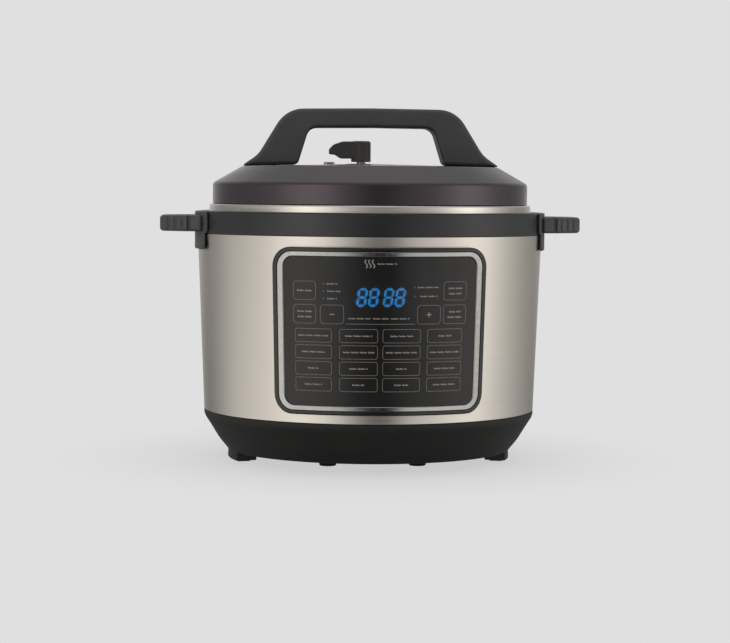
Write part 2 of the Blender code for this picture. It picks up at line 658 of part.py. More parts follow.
def lid_shell(parent):
    """Pressed steel lid whose skirt ends in inward lugs."""
    t = LID_STEEL
    outside = [(LID_SKIRT_R, LID_SKIRT_BOTTOM_Z), (LID_SHOULDER_R, LID_SHOULDER_Z - 1.4),
               (LID_SHOULDER_R - 1.4, LID_SHOULDER_Z), (147.0, LID_SHOULDER_Z), (138.5, LID_SEAT_Z), (116.5, LID_SEAT_Z),
               (107.0, 258.0), (70.0, 262.2), (0.0, LID_DOME_Z)]
    inside = [(0.0, LID_DOME_Z - t), (70.0, 262.2 - t), (106.2, 256.2),
              (115.8, LID_SEAT_Z - t), (137.8, LID_SEAT_Z - t), (146.2, LID_SHOULDER_Z - t),
              (LID_SHOULDER_R - 2.2, LID_SHOULDER_Z - t), (LID_SKIRT_R - t, LID_SKIRT_BOTTOM_Z)]
    bm = turned(outside + inside)
    for number in range(LUG_COUNT):
        middle = LUG_PHASE + number * 360.0 / LUG_COUNT
        lug = sector(144.5, LID_SKIRT_R - 0.6, LID_SKIRT_BOTTOM_Z + 0.2,
                     LID_SKIRT_BOTTOM_Z + 2.4, middle, LUG_HALF_ANGLE, 2)
        bm = join(bm, lug)
    holes = [(VALVE_AT[0], VALVE_AT[1], 5.0), (FLOAT_AT[0], FLOAT_AT[1], 3.2),
             (HANDLE_SCREW_X, 0.0, 2.8), (-HANDLE_SCREW_X, 0.0, 2.8)]
    for x, y, radius in holes:
        bm = carve(bm, rod(radius, (x, y, 250.0), (x, y, 275.0), 16))
    piece("lid_shell", bm, "brushed_steel", parent)


def lid_cover(parent):
    """Black plastic cover: upright wall, sloping shoulder and nearly flat top."""
    t = COVER_WALL
    outside = [(COVER_R, COVER_BOTTOM_Z), (COVER_R, COVER_WALL_TOP_Z - 1.5),
               (COVER_R - 1.6, COVER_WALL_TOP_Z + 1.4), (COVER_FLAT_R, COVER_FLAT_Z),
               (0.0, COVER_TOP_Z)]
    inside = [(0.0, COVER_TOP_Z - t), (COVER_FLAT_R - 1.0, COVER_FLAT_Z - t + 0.1),
              (COVER_R - t, COVER_WALL_TOP_Z - 1.1), (COVER_R - t, COVER_BOTTOM_Z)]
    bm = turned(outside + inside)
    holes = [(VALVE_AT[0], VALVE_AT[1], 9.6), (FLOAT_AT[0], FLOAT_AT[1], 3.4),
             (HANDLE_SCREW_X, 0.0, 2.8), (-HANDLE_SCREW_X, 0.0, 2.8)]
    for x, y, radius in holes:
        bm = carve(bm, rod(radius, (x, y, 265.0), (x, y, 295.0), 20))
    piece("lid_cover", bm, "lid_plastic", parent)


def lid_handle_outline():
    """Side view of the arch: the outer edge over the top, then back under the grip."""
    outer_foot, inner_foot = HANDLE_FOOT_Z
    half = [(0.0, HANDLE_TOP_Z, 0.0), (80.6, HANDLE_TOP_Z - 0.9, 29.0), (107.0, 290.6, 30.0),
            (123.0, outer_foot, 0.0), (69.8, inner_foot, 0.0),
            (59.0, 316.1, 11.0), (0.0, 316.7, 0.0)]
    outline = [(x, z) for x, z, _ in half] + [(-x, z) for x, z, _ in reversed(half[1:-1])]
    radii = [radius for *_, radius in half] + [radius for *_, radius in reversed(half[1:-1])]
    return rounded(outline, radii, 4)


def lid_handle(parent):
    """Arch handle across the lid, with a screw from below into each foot."""
    half = HANDLE_HALF_DEPTH
    bm = prism(lid_handle_outline(), -half, half, "y")
    soften(bm, 3.5, 1, above=60.0)
    for side in (-1, 1):
        x = side * HANDLE_SCREW_X
        bm = carve(bm, rod(2.8, (x, 0.0, 270.0), (x, 0.0, 297.0), 16))
    piece("lid_handle", bm, "handle_plastic", parent)
    for name, side in (("handle_screw_right", 1), ("handle_screw_left", -1)):
        profile = [(0.0, 295.0), (2.2, 295.0), (2.2, 256.6), (4.6, 256.6), (4.6, 254.4),
                   (3.4, 253.2), (0.0, 253.2)]
        screw = turned(profile, 16, (side * HANDLE_SCREW_X, 0.0))
        piece(name, screw, "plain_steel", parent)


def ring_rack(parent):
    """Wire ring on six studs that holds the sealing ring against the lid."""
    wire, middle, z = 1.4, 113.4, 240.0
    section = []
    for step in range(4):
        angle = math.pi * step / 2
        section.append((middle + wire * math.cos(angle), z + wire * math.sin(angle)))
    bm = turned(section)
    for number in range(6):
        angle = math.radians(30.0 + 60.0 * number)
        x, y = 112.8 * math.cos(angle), 112.8 * math.sin(angle)
        bm = join(bm, rod(1.2, (x, y, 240.0), (x, y, 249.8), 8))
    piece("ring_rack", bm, "plain_steel", parent, smooth=80.0)


def steam_outlet(parent):
    """Outlet pipe through the lid, its nut and the shield round its lower end."""
    pipe = turned([(1.6, 291.0), (4.4, 291.0), (4.4, 268.0), (8.0, 268.0), (8.0, 264.4),
                   (4.4, 264.4), (4.4, 247.0), (1.6, 247.0)], 20, VALVE_AT)
    piece("steam_pipe", pipe, "plain_steel", parent)
    hexagon = [(VALVE_AT[0] + 8.6 * math.cos(math.pi * k / 3),
                VALVE_AT[1] + 8.6 * math.sin(math.pi * k / 3)) for k in range(6)]
    bore = rod(4.7, (*VALVE_AT, 250.0), (*VALVE_AT, 265.0), 20)
    piece("pipe_nut", carve(prism(hexagon, 256.4, 260.8), bore), "plain_steel", parent)
    shield = turned([(0.0, 241.0), (13.0, 241.0), (15.0, 243.0), (15.0, 257.0), (13.8, 257.0),
                     (13.8, 243.6), (12.6, 242.2), (0.0, 242.2)], 20, VALVE_AT)
    for step in range(3):
        angle = math.pi * step / 3
        slot = block((-20.0, 20.0), (-1.2, 1.2), (245.5, 253.5))
        bmesh.ops.rotate(slot, cent=(0, 0, 0), matrix=Matrix.Rotation(angle, 3, "Z"),
                         verts=slot.verts)
        bmesh.ops.translate(slot, vec=(*VALVE_AT, 0.0), verts=slot.verts)
        shield = carve(shield, slot)
    piece("anti_block_shield", shield, "plain_steel", parent)


def release_valve(parent):
    """Knob with a pointed nose, about the valve's own axis."""
    body = turned([(0.0, 305.0), (8.1, 305.0), (9.6, 303.4), (9.6, 284.6), (0.0, 284.6)], 20)
    side = [(8.5, 302.6), (8.5, 287.8), (-18.5, 287.8), (-22.5, 289.6), (-26.0, 291.6),
            (-31.0, 292.2), (-31.4, 296.6), (-26.0, 302.4), (-18.5, 304.8), (6.0, 304.9)]
    nose = prism(side, -7.4, 7.4, "y")
    soften(nose, 2.0, 2, above=50.0)
    bm = join(body, nose)
    bm = carve(bm, rod(7.2, (0.0, 0.0, 280.0), (0.0, 0.0, 303.0)))
    piece("release_knob", bm, "handle_plastic", parent)


def valve_weight(parent):
    """Weight and needle that close the outlet pipe."""
    profile = [(0.0, 300.2), (5.8, 300.2), (6.6, 299.4), (6.6, 292.6), (5.6, 291.6),
               (1.2, 291.6), (1.2, 287.6), (0.0, 286.4)]
    piece("valve_weight", turned(profile, 20), "brass", parent)


def float_valve(parent):
    """Pin that rises under pressure, with its silicone cap under the lid."""
    pin = turned([(0.0, 284.8), (4.6, 284.8), (5.4, 284.0), (5.4, 280.9), (2.6, 280.9),
                  (2.6, 248.0), (0.0, 248.0)], SMALL_ROUND)
    piece("float_valve", pin, "plain_steel", parent)
    cap = turned([(6.2, 247.4), (6.8, 248.4), (6.8, 250.4), (5.4, 254.2), (2.9, 254.2),
                  (2.9, 247.4)], SMALL_ROUND)
    piece("float_gasket", cap, "silicone", parent)


def lock_slider(parent):
    """Flat bar under the cover that the float valve blocks while there is pressure."""
    x, y = FLOAT_AT
    bar = block((x - 6.0, x + 6.0), (y - 12.0, 124.0), (265.4, 267.0), 0.4)
    slot = block((x - 3.2, x + 3.2), (y - 8.0, y + 3.2), (260.0, 272.0))
    piece("lock_slider", carve(bar, slot), "plain_steel", parent)


def main():
    clear_scene()
    axis = empty("cooker_axis", (0.0, AXIS_Y, 0.0))
    base_housing(axis)
    bottom_cover(axis)
    base_screws(axis)
    feet(axis)
    outer_shell(axis)
    top_collar(axis)
    side_handles(axis)
    liner_pot(axis)
    heating_group(axis)
    electrics(axis)
    control_panel(axis)

    sensor(empty("sensor_axis", parent=axis))
    condensation_cup(empty("cup_slide_axis", parent=axis))
    inner_pot(empty("pot_axis", parent=axis))
    sealing_ring(empty("seal_axis", parent=axis))

    lid_axis = empty("lid_axis", parent=axis)
    lid_shell(lid_axis)
    lid_cover(lid_axis)
    lid_handle(lid_axis)
    ring_rack(lid_axis)
    steam_outlet(lid_axis)
    lock_slider(empty("lock_slider_axis", parent=lid_axis))
    valve_axis = empty("release_valve_axis", (*VALVE_AT, 0.0), lid_axis)
    release_valve(valve_axis)
    valve_weight(empty("valve_weight_axis", parent=valve_axis))
    float_valve(empty("float_valve_axis", (*FLOAT_AT, 0.0), lid_axis))


main()
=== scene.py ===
"""Looks of the electric pressure cooker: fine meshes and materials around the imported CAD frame.

Lengths in this file are millimetres (MM turns them into metres). Plan positions are
taken from the pot's axis, which the lid's hinge gives; heights are above the floor.
"""
import json
import math

import bmesh
import bpy
from mathutils import Matrix, Vector


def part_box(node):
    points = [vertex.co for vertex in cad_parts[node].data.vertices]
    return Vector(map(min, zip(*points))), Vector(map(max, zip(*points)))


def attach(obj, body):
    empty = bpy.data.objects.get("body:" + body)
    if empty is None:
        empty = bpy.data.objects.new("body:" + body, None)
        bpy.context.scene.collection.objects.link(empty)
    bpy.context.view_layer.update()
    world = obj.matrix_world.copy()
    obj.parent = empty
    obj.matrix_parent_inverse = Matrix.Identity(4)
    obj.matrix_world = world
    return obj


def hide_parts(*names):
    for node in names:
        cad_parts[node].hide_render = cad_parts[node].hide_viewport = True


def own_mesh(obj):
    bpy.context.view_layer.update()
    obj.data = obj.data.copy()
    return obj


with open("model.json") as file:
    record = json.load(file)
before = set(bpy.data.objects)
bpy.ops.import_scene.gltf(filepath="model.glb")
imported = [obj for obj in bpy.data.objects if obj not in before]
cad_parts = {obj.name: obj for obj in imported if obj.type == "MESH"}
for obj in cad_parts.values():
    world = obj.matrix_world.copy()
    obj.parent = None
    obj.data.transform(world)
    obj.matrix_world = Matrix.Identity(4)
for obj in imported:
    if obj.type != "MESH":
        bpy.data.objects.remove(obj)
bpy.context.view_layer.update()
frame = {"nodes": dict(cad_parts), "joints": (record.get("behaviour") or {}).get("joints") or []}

MM = 0.001
JOINTS = {joint["name"]: joint for joint in frame["joints"]}
AXIS = Vector((0.0, JOINTS["lid_turn"]["pos_m"][1], 0.0))
VALVE = (Vector(JOINTS["valve_turn"]["pos_m"]) - AXIS) / MM
FACETS = 160
FINE_FACETS = 224              # for the widest turned pieces


def limits(node):
    """A CAD node's low and high corner in millimetres, from the pot's axis."""
    low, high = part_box(node)
    return (low - AXIS) / MM, (high - AXIS) / MM


def middle(node):
    low, high = limits(node)
    return (low + high) / 2


FLOAT = middle("float_valve")
SHELL_LOW, SHELL_HIGH = limits("outer_shell")
SHELL_TAPER = 6.5              # the shell's radius grows by this much from bottom to top
PANEL_WINDOW = ((-80.0, 80.0), (-200.0, -100.0), (74.0, 190.0))    # cut in the shell, in x, y, z


def shell_radius(z):
    share = (z - SHELL_LOW.z) / (SHELL_HIGH.z - SHELL_LOW.z)
    return SHELL_HIGH.x - SHELL_TAPER * (1.0 - share)


# --- materials ----------------------------------------------------------------
def linear(red, green, blue):
    """A colour of 0 to 255 per channel as linear light."""
    def curve(value):
        value /= 255.0
        return value / 12.92 if value <= 0.04045 else ((value + 0.055) / 1.055) ** 2.4
    return (curve(red), curve(green), curve(blue), 1.0)


class Finish:
    """A material being built: a Principled shader and short ways to feed it."""

    def __init__(self, name, colour, roughness, metallic=0.0, **sockets):
        self.material = bpy.data.materials.new(name)
        self.material.use_nodes = True
        self.tree = self.material.node_tree
        self.shader = self.tree.nodes["Principled BSDF"]
        self.colour = colour
        self.shader.inputs["Base Color"].default_value = colour
        self.shader.inputs["Roughness"].default_value = roughness
        self.shader.inputs["Metallic"].default_value = metallic
        for socket, value in sockets.items():
            self.shader.inputs[socket.replace("_", " ")].default_value = value

    def node(self, kind, **values):
        made = self.tree.nodes.new(kind)
        for name, value in values.items():
            if name in made.inputs:
                made.inputs[name].default_value = value
            else:
                setattr(made, name, value)
        return made

    def link(self, source, target):
        self.tree.links.new(source, target)

    def place(self, space, scale):
        """Coordinates in a space ("Object" or "UV"), scaled per axis."""
        coordinates = self.node("ShaderNodeTexCoord")
        mapping = self.node("ShaderNodeMapping", Scale=scale)
        self.link(coordinates.outputs[space], mapping.inputs["Vector"])
        return mapping.outputs["Vector"]

    def noise(self, space="Object", scale=(1.0, 1.0, 1.0), size=100.0, detail=3.0, rough=0.5):
        made = self.node("ShaderNodeTexNoise", Scale=size, Detail=detail, Roughness=rough)
        self.link(self.place(space, scale), made.inputs["Vector"])
        return made.outputs["Fac"]

    def vary(self, source, socket, low, high, spread=(0.3, 0.7)):
        """Drive a number socket between two values with a texture."""
        ramp = self.node("ShaderNodeMapRange", **{"From Min": spread[0], "From Max": spread[1],
                                                  "To Min": low, "To Max": high})
        self.link(source, ramp.inputs["Value"])
        self.link(ramp.outputs["Result"], self.shader.inputs[socket])

    def tint(self, source, dark, light, spread=(0.3, 0.7)):
        """Drive the colour between a darker and a lighter shade of itself."""
        ramp = self.node("ShaderNodeValToRGB")
        ramp.color_ramp.elements[0].position = spread[0]
        ramp.color_ramp.elements[1].position = spread[1]
        for element, factor in zip(ramp.color_ramp.elements, (dark, light)):
            element.color = (*(min(1.0, c * factor) for c in self.colour[:3]), 1.0)
        self.link(source, ramp.inputs["Fac"])
        self.link(ramp.outputs["Color"], self.shader.inputs["Base Color"])

    def bump(self, source, height, strength=1.0):
        """Small relief: height in metres."""
        made = self.node("ShaderNodeBump", Strength=strength, Distance=height)
        self.link(source, made.inputs["Height"])
        if self.shader.inputs["Normal"].is_linked:
            before = self.shader.inputs["Normal"].links[0].from_socket
            self.link(before, made.inputs["Normal"])
        self.link(made.outputs["Normal"], self.shader.inputs["Normal"])


def brushed(name, colour, roughness=0.3, grain=2600.0, relief=0.00002, anisotropy=0.6,
            shades=(0.93, 1.05)):
    """Steel with fine lines that run round the turned piece."""
    made = Finish(name, colour, roughness, 1.0)
    made.shader.inputs["Anisotropic"].default_value = anisotropy
    made.shader.inputs["Anisotropic Rotation"].default_value = 0.25
    tangent = made.node("ShaderNodeTangent", direction_type="RADIAL", axis="Z")
    made.link(tangent.outputs["Tangent"], made.shader.inputs["Tangent"])
    lines = made.noise("UV", (9.0, grain, 1.0), 1.0, 2.0, 0.6)
    made.vary(lines, "Roughness", roughness - 0.05, roughness + 0.07)
    made.tint(lines, *shades)
    made.bump(lines, relief, 0.5)
    return made.material


def satin_metal(name, colour, roughness, size=900.0):
    """Plain, cast or plated metal with a faint mottled surface."""
    made = Finish(name, colour, roughness, 1.0)
    grain = made.noise(size=size, detail=4.0)
    made.vary(grain, "Roughness", roughness - 0.06, roughness + 0.08)
    made.tint(grain, 0.88, 1.06)
    made.bump(grain, 0.00003, 0.4)
    return made.material


def moulded(name, colour, roughness, grain=1400.0, relief=0.00004, specular=0.5,
            sheen=(1.0, 1.0, 1.0, 1.0)):
    """Moulded plastic: a fine grain, slightly uneven gloss and colour."""
    made = Finish(name, colour, roughness, 0.0, Specular_IOR_Level=specular, Specular_Tint=sheen)
    fine = made.noise(size=grain, detail=2.0)
    broad = made.noise(size=28.0, detail=3.0)
    made.vary(broad, "Roughness", roughness - 0.03, roughness + 0.05)
    made.tint(broad, 0.9, 1.12)
    made.bump(fine, relief, 0.6)
    return made.material


def glossy(name, colour, roughness, specular=0.5):
    """Polished plastic with faint smears."""
    made = Finish(name, colour, roughness, 0.0, Specular_IOR_Level=specular)
    smear = made.noise(scale=(1.0, 1.0, 0.45), size=22.0, detail=5.0, rough=0.6)
    made.vary(smear, "Roughness", roughness * 0.8, roughness * 1.6)
    made.tint(smear, 0.94, 1.08)
    made.bump(made.noise(size=60.0, detail=1.0), 0.00002, 0.3)
    return made.material


def silicone(name, colour):
    made = Finish(name, colour, 0.42, 0.0, Subsurface_Weight=0.25, Subsurface_Scale=0.004)
    cloud = made.noise(size=60.0, detail=3.0)
    made.tint(cloud, 0.92, 1.05)
    made.vary(cloud, "Roughness", 0.36, 0.5)
    made.bump(made.noise(size=700.0), 0.00003, 0.4)
    return made.material


def clear_plastic(name, colour):
    made = Finish(name, colour, 0.18, 0.0, Transmission_Weight=0.85, IOR=1.49)
    made.vary(made.noise(size=50.0, detail=4.0), "Roughness", 0.12, 0.26)
    made.tint(made.noise(size=20.0, detail=2.0), 0.96, 1.02)
    return made.material


def circuit_board(name, colour):
    """Green board with the shadow of its tracks."""
    made = Finish(name, colour, 0.4)
    tracks = made.node("ShaderNodeTexBrick", Scale=70.0)
    made.link(made.place("Object", (1.0, 1.0, 1.0)), tracks.inputs["Vector"])
    made.tint(tracks.outputs["Fac"], 0.85, 1.5, (0.2, 0.8))
    made.vary(made.noise(size=300.0), "Roughness", 0.34, 0.5)
    return made.material


def printed(name, colour, emission=0.0):
    """Print on the panel's face."""
    made = Finish(name, colour, 0.45)
    made.tint(made.noise(size=500.0, detail=2.0), 0.85, 1.12)
    if emission:
        made.shader.inputs["Emission Color"].default_value = colour
        made.shader.inputs["Emission Strength"].default_value = emission
    return made.material


def lit_segments(name, colour, strength):
    """Lit display segment: brighter in patches, like a lamp behind a diffuser."""
    made = Finish(name, linear(6, 20, 34), 0.2)
    made.shader.inputs["Emission Color"].default_value = colour
    made.vary(made.noise(size=260.0, detail=1.0), "Emission Strength", strength * 0.75,
              strength * 1.2)
    return made.material


LOOKS = {
    "shell": brushed("shell_brushed_steel", linear(212, 206, 197), 0.34),
    "lid_steel": brushed("lid_polished_steel", linear(214, 209, 201), 0.28, 1500.0, 0.00001, 0.5),
    "pot_steel": brushed("pot_satin_steel", linear(206, 204, 198), 0.26, 1100.0, 0.00001, 0.5),
    "liner_steel": brushed("liner_steel", linear(176, 176, 174), 0.38, 700.0, 0.00002, 0.3),
    "plate": brushed("cast_aluminium", linear(184, 184, 182), 0.42, 500.0, 0.00006, 0.3,
                     (0.85, 1.08)),
    "zinc": satin_metal("zinc_plated_steel", linear(188, 188, 186), 0.34),
    "brass": satin_metal("brass", linear(204, 170, 92), 0.3),
    "chrome": satin_metal("trim_satin_chrome", linear(164, 163, 160), 0.13, 300.0),
    "lid_black": moulded("lid_black_plastic", linear(37, 35, 35), 0.25, 900.0, 0.00002,
                         specular=0.8, sheen=(1.0, 0.82, 0.92, 1.0)),
    "collar_black": moulded("collar_black_plastic", linear(35, 33, 35), 0.34, 1000.0, 0.00002),
    "handle_black": moulded("handle_black_plastic", linear(70, 70, 70), 0.46, 1500.0, 0.00006),
    # Painted light: the knob is the handle's black plastic, but its colour is set far lighter than
    # the handle's to offset the shade it sits in behind the arch.
    "knob_lightened_against_shade": moulded("knob_plastic_lightened_against_shade", linear(100, 98, 96), 0.46, 1500.0, 0.00006),
    "base_black": moulded("base_black_plastic", linear(34, 35, 33), 0.55, 1300.0, 0.00005, 0.3),
    "inner_black": moulded("inner_dark_plastic", linear(66, 66, 68), 0.5),
    "rubber": moulded("foot_rubber", linear(30, 30, 30), 0.8, 700.0, 0.0001, 0.3),
    "panel": glossy("panel_gloss_black", linear(22, 20, 19), 0.24, 0.40),
    "bezel": glossy("bezel_gloss_black", linear(22, 21, 20), 0.16),
    "silicone": silicone("seal_silicone", linear(226, 226, 220)),
    "gasket": silicone("gasket_red_silicone", linear(176, 60, 50)),
    "clear": clear_plastic("cup_clear_plastic", linear(226, 230, 234)),
    "board": circuit_board("circuit_board", linear(28, 104, 58)),
    "relay": glossy("relay_case_blue", linear(40, 92, 160), 0.3),
    "brown": moulded("wire_brown", linear(112, 66, 40), 0.42),
    "blue": moulded("wire_blue", linear(40, 84, 176), 0.42),
    "green": moulded("wire_green", linear(64, 150, 66), 0.42),
    "outline": printed("key_outline_print", linear(124, 119, 114)),
    "legend": printed("legend_print", linear(162, 157, 152)),
    "digits": lit_segments("display_blue", linear(38, 112, 170), 1.0),
    "glow": lit_segments("display_glow", linear(18, 52, 84), 0.7),
    "lamp": lit_segments("indicator_lamp", linear(50, 100, 150), 0.4),
}


# --- mesh tools ---------------------------------------------------------------
def face_out(bm):
    bmesh.ops.recalc_face_normals(bm, faces=bm.faces)
    if bm.calc_volume(signed=True) < 0:
        bmesh.ops.reverse_faces(bm, faces=bm.faces)


def make(name, bm, look, body, replaces=(), sharp=32.0, weighted=True):
    """A bmesh in millimetres about the pot's axis becomes a piece that rides on a body."""
    face_out(bm)
    bmesh.ops.scale(bm, vec=(MM, MM, MM), verts=bm.verts)
    mesh = bpy.data.meshes.new(name)
    bm.to_mesh(mesh)
    bm.free()
    mesh.shade_smooth()
    mesh.set_sharp_from_angle(angle=math.radians(sharp))
    mesh.materials.append(LOOKS[look])
    made = bpy.data.objects.new(name, mesh)
    made.location = AXIS
    bpy.context.collection.objects.link(made)
    if weighted:
        modifier = made.modifiers.new("weighted_normals", "WEIGHTED_NORMAL")
        modifier.keep_sharp = True
    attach(made, body)
    if replaces:
        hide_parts(*replaces)
    return made


def fillet(corner, before, after, radius, steps):
    """Points that round one corner of an outline."""
    corner, before, after = Vector(corner), Vector(before), Vector(after)
    into = (before - corner).normalized()
    out = (after - corner).normalized()
    half = into.angle(out) / 2
    reach = radius / math.tan(half)
    centre = corner + (into + out).normalized() * radius / math.sin(half)
    start = corner + into * reach - centre
    sweep = start.angle_signed(corner + out * reach - centre)
    points = []
    for step in range(steps + 1):
        arm = start.copy()
        arm.rotate(Matrix.Rotation(-sweep * step / steps, 2))
        points.append(tuple(centre + arm))
    return points


def rounded(outline, steps=6):
    """An outline given as (x, y) or (x, y, corner radius) points, with its corners rounded."""
    points = []
    for index, corner in enumerate(outline):
        if len(corner) == 2:
            points.append(tuple(corner))
            continue
        before = outline[index - 1][:2]
        after = outline[(index + 1) % len(outline)][:2]
        points += fillet(corner[:2], before, after, corner[2], steps)
    return points


def lathe(outline, facets=FACETS, at=(0.0, 0.0), steps=6):
    """Turn a closed outline of (radius, z[, corner radius]) about a vertical axis.

    UVs run in metres: round the piece, and along the outline."""
    bm = bmesh.new()
    layer = bm.loops.layers.uv.new("UVMap")
    points = rounded(outline, steps)
    rings = []
    for radius, z in points:
        if radius < 1e-6:
            rings.append([bm.verts.new((at[0], at[1], z))])
            continue
        ring = []
        for step in range(facets):
            angle = 2 * math.pi * step / facets
            ring.append(bm.verts.new((at[0] + radius * math.sin(angle),
                                      at[1] + radius * math.cos(angle), z)))
        rings.append(ring)
    widest = max(radius for radius, _ in points)
    along = 0.0
    for k, low in enumerate(rings):
        high = rings[(k + 1) % len(rings)]
        end = along + (Vector(points[(k + 1) % len(points)]) - Vector(points[k])).length
        if len(low) > 1 or len(high) > 1:
            for step in range(facets):
                after = step + 1
                u = [2 * math.pi * widest * MM * s / facets for s in (step, after)]
                corners = [(low[step % len(low)], (u[0], along * MM)),
                           (low[after % len(low)], (u[1], along * MM)),
                           (high[after % len(high)], (u[1], end * MM)),
                           (high[step % len(high)], (u[0], end * MM))]
                unique = dict(corners)
                face = bm.faces.new(list(unique))
                for loop in face.loops:
                    loop[layer].uv = unique[loop.vert]
        along = end
    return bm


def prism(outline, low, high, axis="z"):
    """Extrude a flat outline along an axis; the outline's own axes follow in X, Y, Z order."""
    bm = bmesh.new()
    place = {
        "z": lambda a, b, h: (a, b, h),
        "y": lambda a, b, h: (a, h, b),
        "x": lambda a, b, h: (h, a, b),
    }[axis]
    face = bm.faces.new([bm.verts.new(place(a, b, low)) for a, b in outline])
    grown = bmesh.ops.extrude_face_region(bm, geom=[face])
    moved = [item for item in grown["geom"] if isinstance(item, bmesh.types.BMVert)]
    bmesh.ops.translate(bm, vec=Vector(place(0.0, 0.0, high - low)), verts=moved)
    face_out(bm)
    return bm


def soften(bm, width, segments=3, above=40.0, clamp=True):
    """Round the edges that are sharper than an angle."""
    face_out(bm)
    sharp = [edge for edge in bm.edges if edge.calc_face_angle(0.0) > math.radians(above)]
    bmesh.ops.bevel(bm, geom=sharp, offset=width, segments=segments, profile=0.5,
                    affect="EDGES", clamp_overlap=clamp)
    return bm


def block(x, y, z, bevel=0.0, segments=3):
    bm = prism([(x[0], y[0]), (x[1], y[0]), (x[1], y[1]), (x[0], y[1])], z[0], z[1])
    return soften(bm, bevel, segments) if bevel else bm


def box_of(node, bevel, segments=3):
    """A softened block that fills a CAD node's box."""
    low, high = limits(node)
    return block((low.x, high.x), (low.y, high.y), (low.z, high.z), bevel, segments)


def rectangle(left, right, low, high, radius):
    """The corners of a rounded rectangle."""
    return [(left, low, radius), (right, low, radius), (right, high, radius),
            (left, high, radius)]


def shift(bm, x, y, z=0.0):
    bmesh.ops.translate(bm, vec=(x, y, z), verts=bm.verts)
    return bm


def skin(bm, loops):
    """Faces between each loop of vertices and the next."""
    for one, two in zip(loops, loops[1:]):
        for k in range(len(one)):
            after = (k + 1) % len(one)
            bm.faces.new((one[k], one[after], two[after], two[k]))


def rod(radius, start, end, facets=32):
    bm = bmesh.new()
    start, end = Vector(start), Vector(end)
    along = end - start
    turn = Vector((0.0, 0.0, 1.0)).rotation_difference(along)
    where = Matrix.Translation((start + end) / 2) @ turn.to_matrix().to_4x4()
    bmesh.ops.create_cone(bm, cap_ends=True, segments=facets, radius1=radius,
                          radius2=radius, depth=along.length, matrix=where)
    return bm


def sector(inner, outer, low, high, centre, half_angle, steps=16, lean=0.0):
    """A piece of a ring; lean is how much wider its radii are at the bottom."""
    bm = bmesh.new()
    rows = []
    for step in range(steps + 1):
        angle = math.radians(centre + half_angle * (2 * step / steps - 1))
        c, s = math.cos(angle), math.sin(angle)
        corners = ((inner + lean, low), (outer + lean, low), (outer, high), (inner, high))
        rows.append([bm.verts.new((r * c, r * s, z)) for r, z in corners])
    skin(bm, rows)
    bm.faces.new(rows[0])
    bm.faces.new(rows[-1])
    face_out(bm)
    return bm


def merge(*parts):
    """Several bodies in one mesh, untouched."""
    whole = bmesh.new()
    for part in parts:
        mesh = bpy.data.meshes.new("merge")
        part.to_mesh(mesh)
        part.free()
        whole.from_mesh(mesh)
        bpy.data.meshes.remove(mesh)
    return whole


def carve(target, tool, operation="DIFFERENCE"):
    """Cut a bmesh by another, or join them, and return the result."""
    objects = []
    for bm in (target, tool):
        face_out(bm)
        mesh = bpy.data.meshes.new("carve")
        bm.to_mesh(mesh)
        bm.free()
        made = bpy.data.objects.new("carve", mesh)
        bpy.context.collection.objects.link(made)
        objects.append(made)
    modifier = objects[0].modifiers.new("carve", "BOOLEAN")
    modifier.operation = operation
    modifier.object = objects[1]
    bpy.context.view_layer.update()
    result = bmesh.new()
    result.from_object(objects[0], bpy.context.evaluated_depsgraph_get())
    for made in objects:
        mesh = made.data
        bpy.data.objects.remove(made, do_unlink=True)
        bpy.data.meshes.remove(mesh)
    return result


def turn_about_z(bm, degrees):
    bmesh.ops.rotate(bm, cent=(0.0, 0.0, 0.0), verts=bm.verts,
                     matrix=Matrix.Rotation(math.radians(degrees), 3, "Z"))
    return bm


def cross_screw(outline, facets, at, bottom, arm, half, depth):
    """A turned screw with a cross recess cut up into the underside of its head."""
    screw = lathe(outline, facets, at)
    for angle in (0.0, 90.0):
        slot = block((-arm, arm), (-half, half), (bottom - 1.0, bottom + depth))
        screw = carve(screw, shift(turn_about_z(slot, angle), at[0], at[1]))
    return screw


def bend(bm, radius_at, bend_radius, pitch):
    """Slice a flat piece (width, proudness, height) every pitch and bend it round the axis.

    The middle of the width faces the front."""
    xs = [vert.co.x for vert in bm.verts]
    first, last = math.floor(min(xs) / pitch) + 1, math.ceil(max(xs) / pitch)
    for step in range(first, last):
        everything = bm.verts[:] + bm.edges[:] + bm.faces[:]
        bmesh.ops.bisect_plane(bm, geom=everything, plane_co=(step * pitch, 0.0, 0.0),
                               plane_no=(1.0, 0.0, 0.0))
    for vert in bm.verts:
        width, proud, z = vert.co
        angle = width / bend_radius
        radius = radius_at(z) + proud
        vert.co = (radius * math.sin(angle), -radius * math.cos(angle), z)
    return bm


# --- body ---------------------------------------------------------------------
def shell():
    low, high, wall = SHELL_LOW.z, SHELL_HIGH.z, 1.0
    outline = [(shell_radius(high), high), (shell_radius(low), low, 0.3),
               (shell_radius(low) - wall, low), (shell_radius(high) - wall, high)]
    bm = carve(lathe(outline, FINE_FACETS), block(*PANEL_WINDOW))
    make("body_shell", bm, "shell", "cooker", ["outer_shell"])


BASE_SCREWS = [middle(f"base_screw_{number}") for number in (1, 2, 3)]


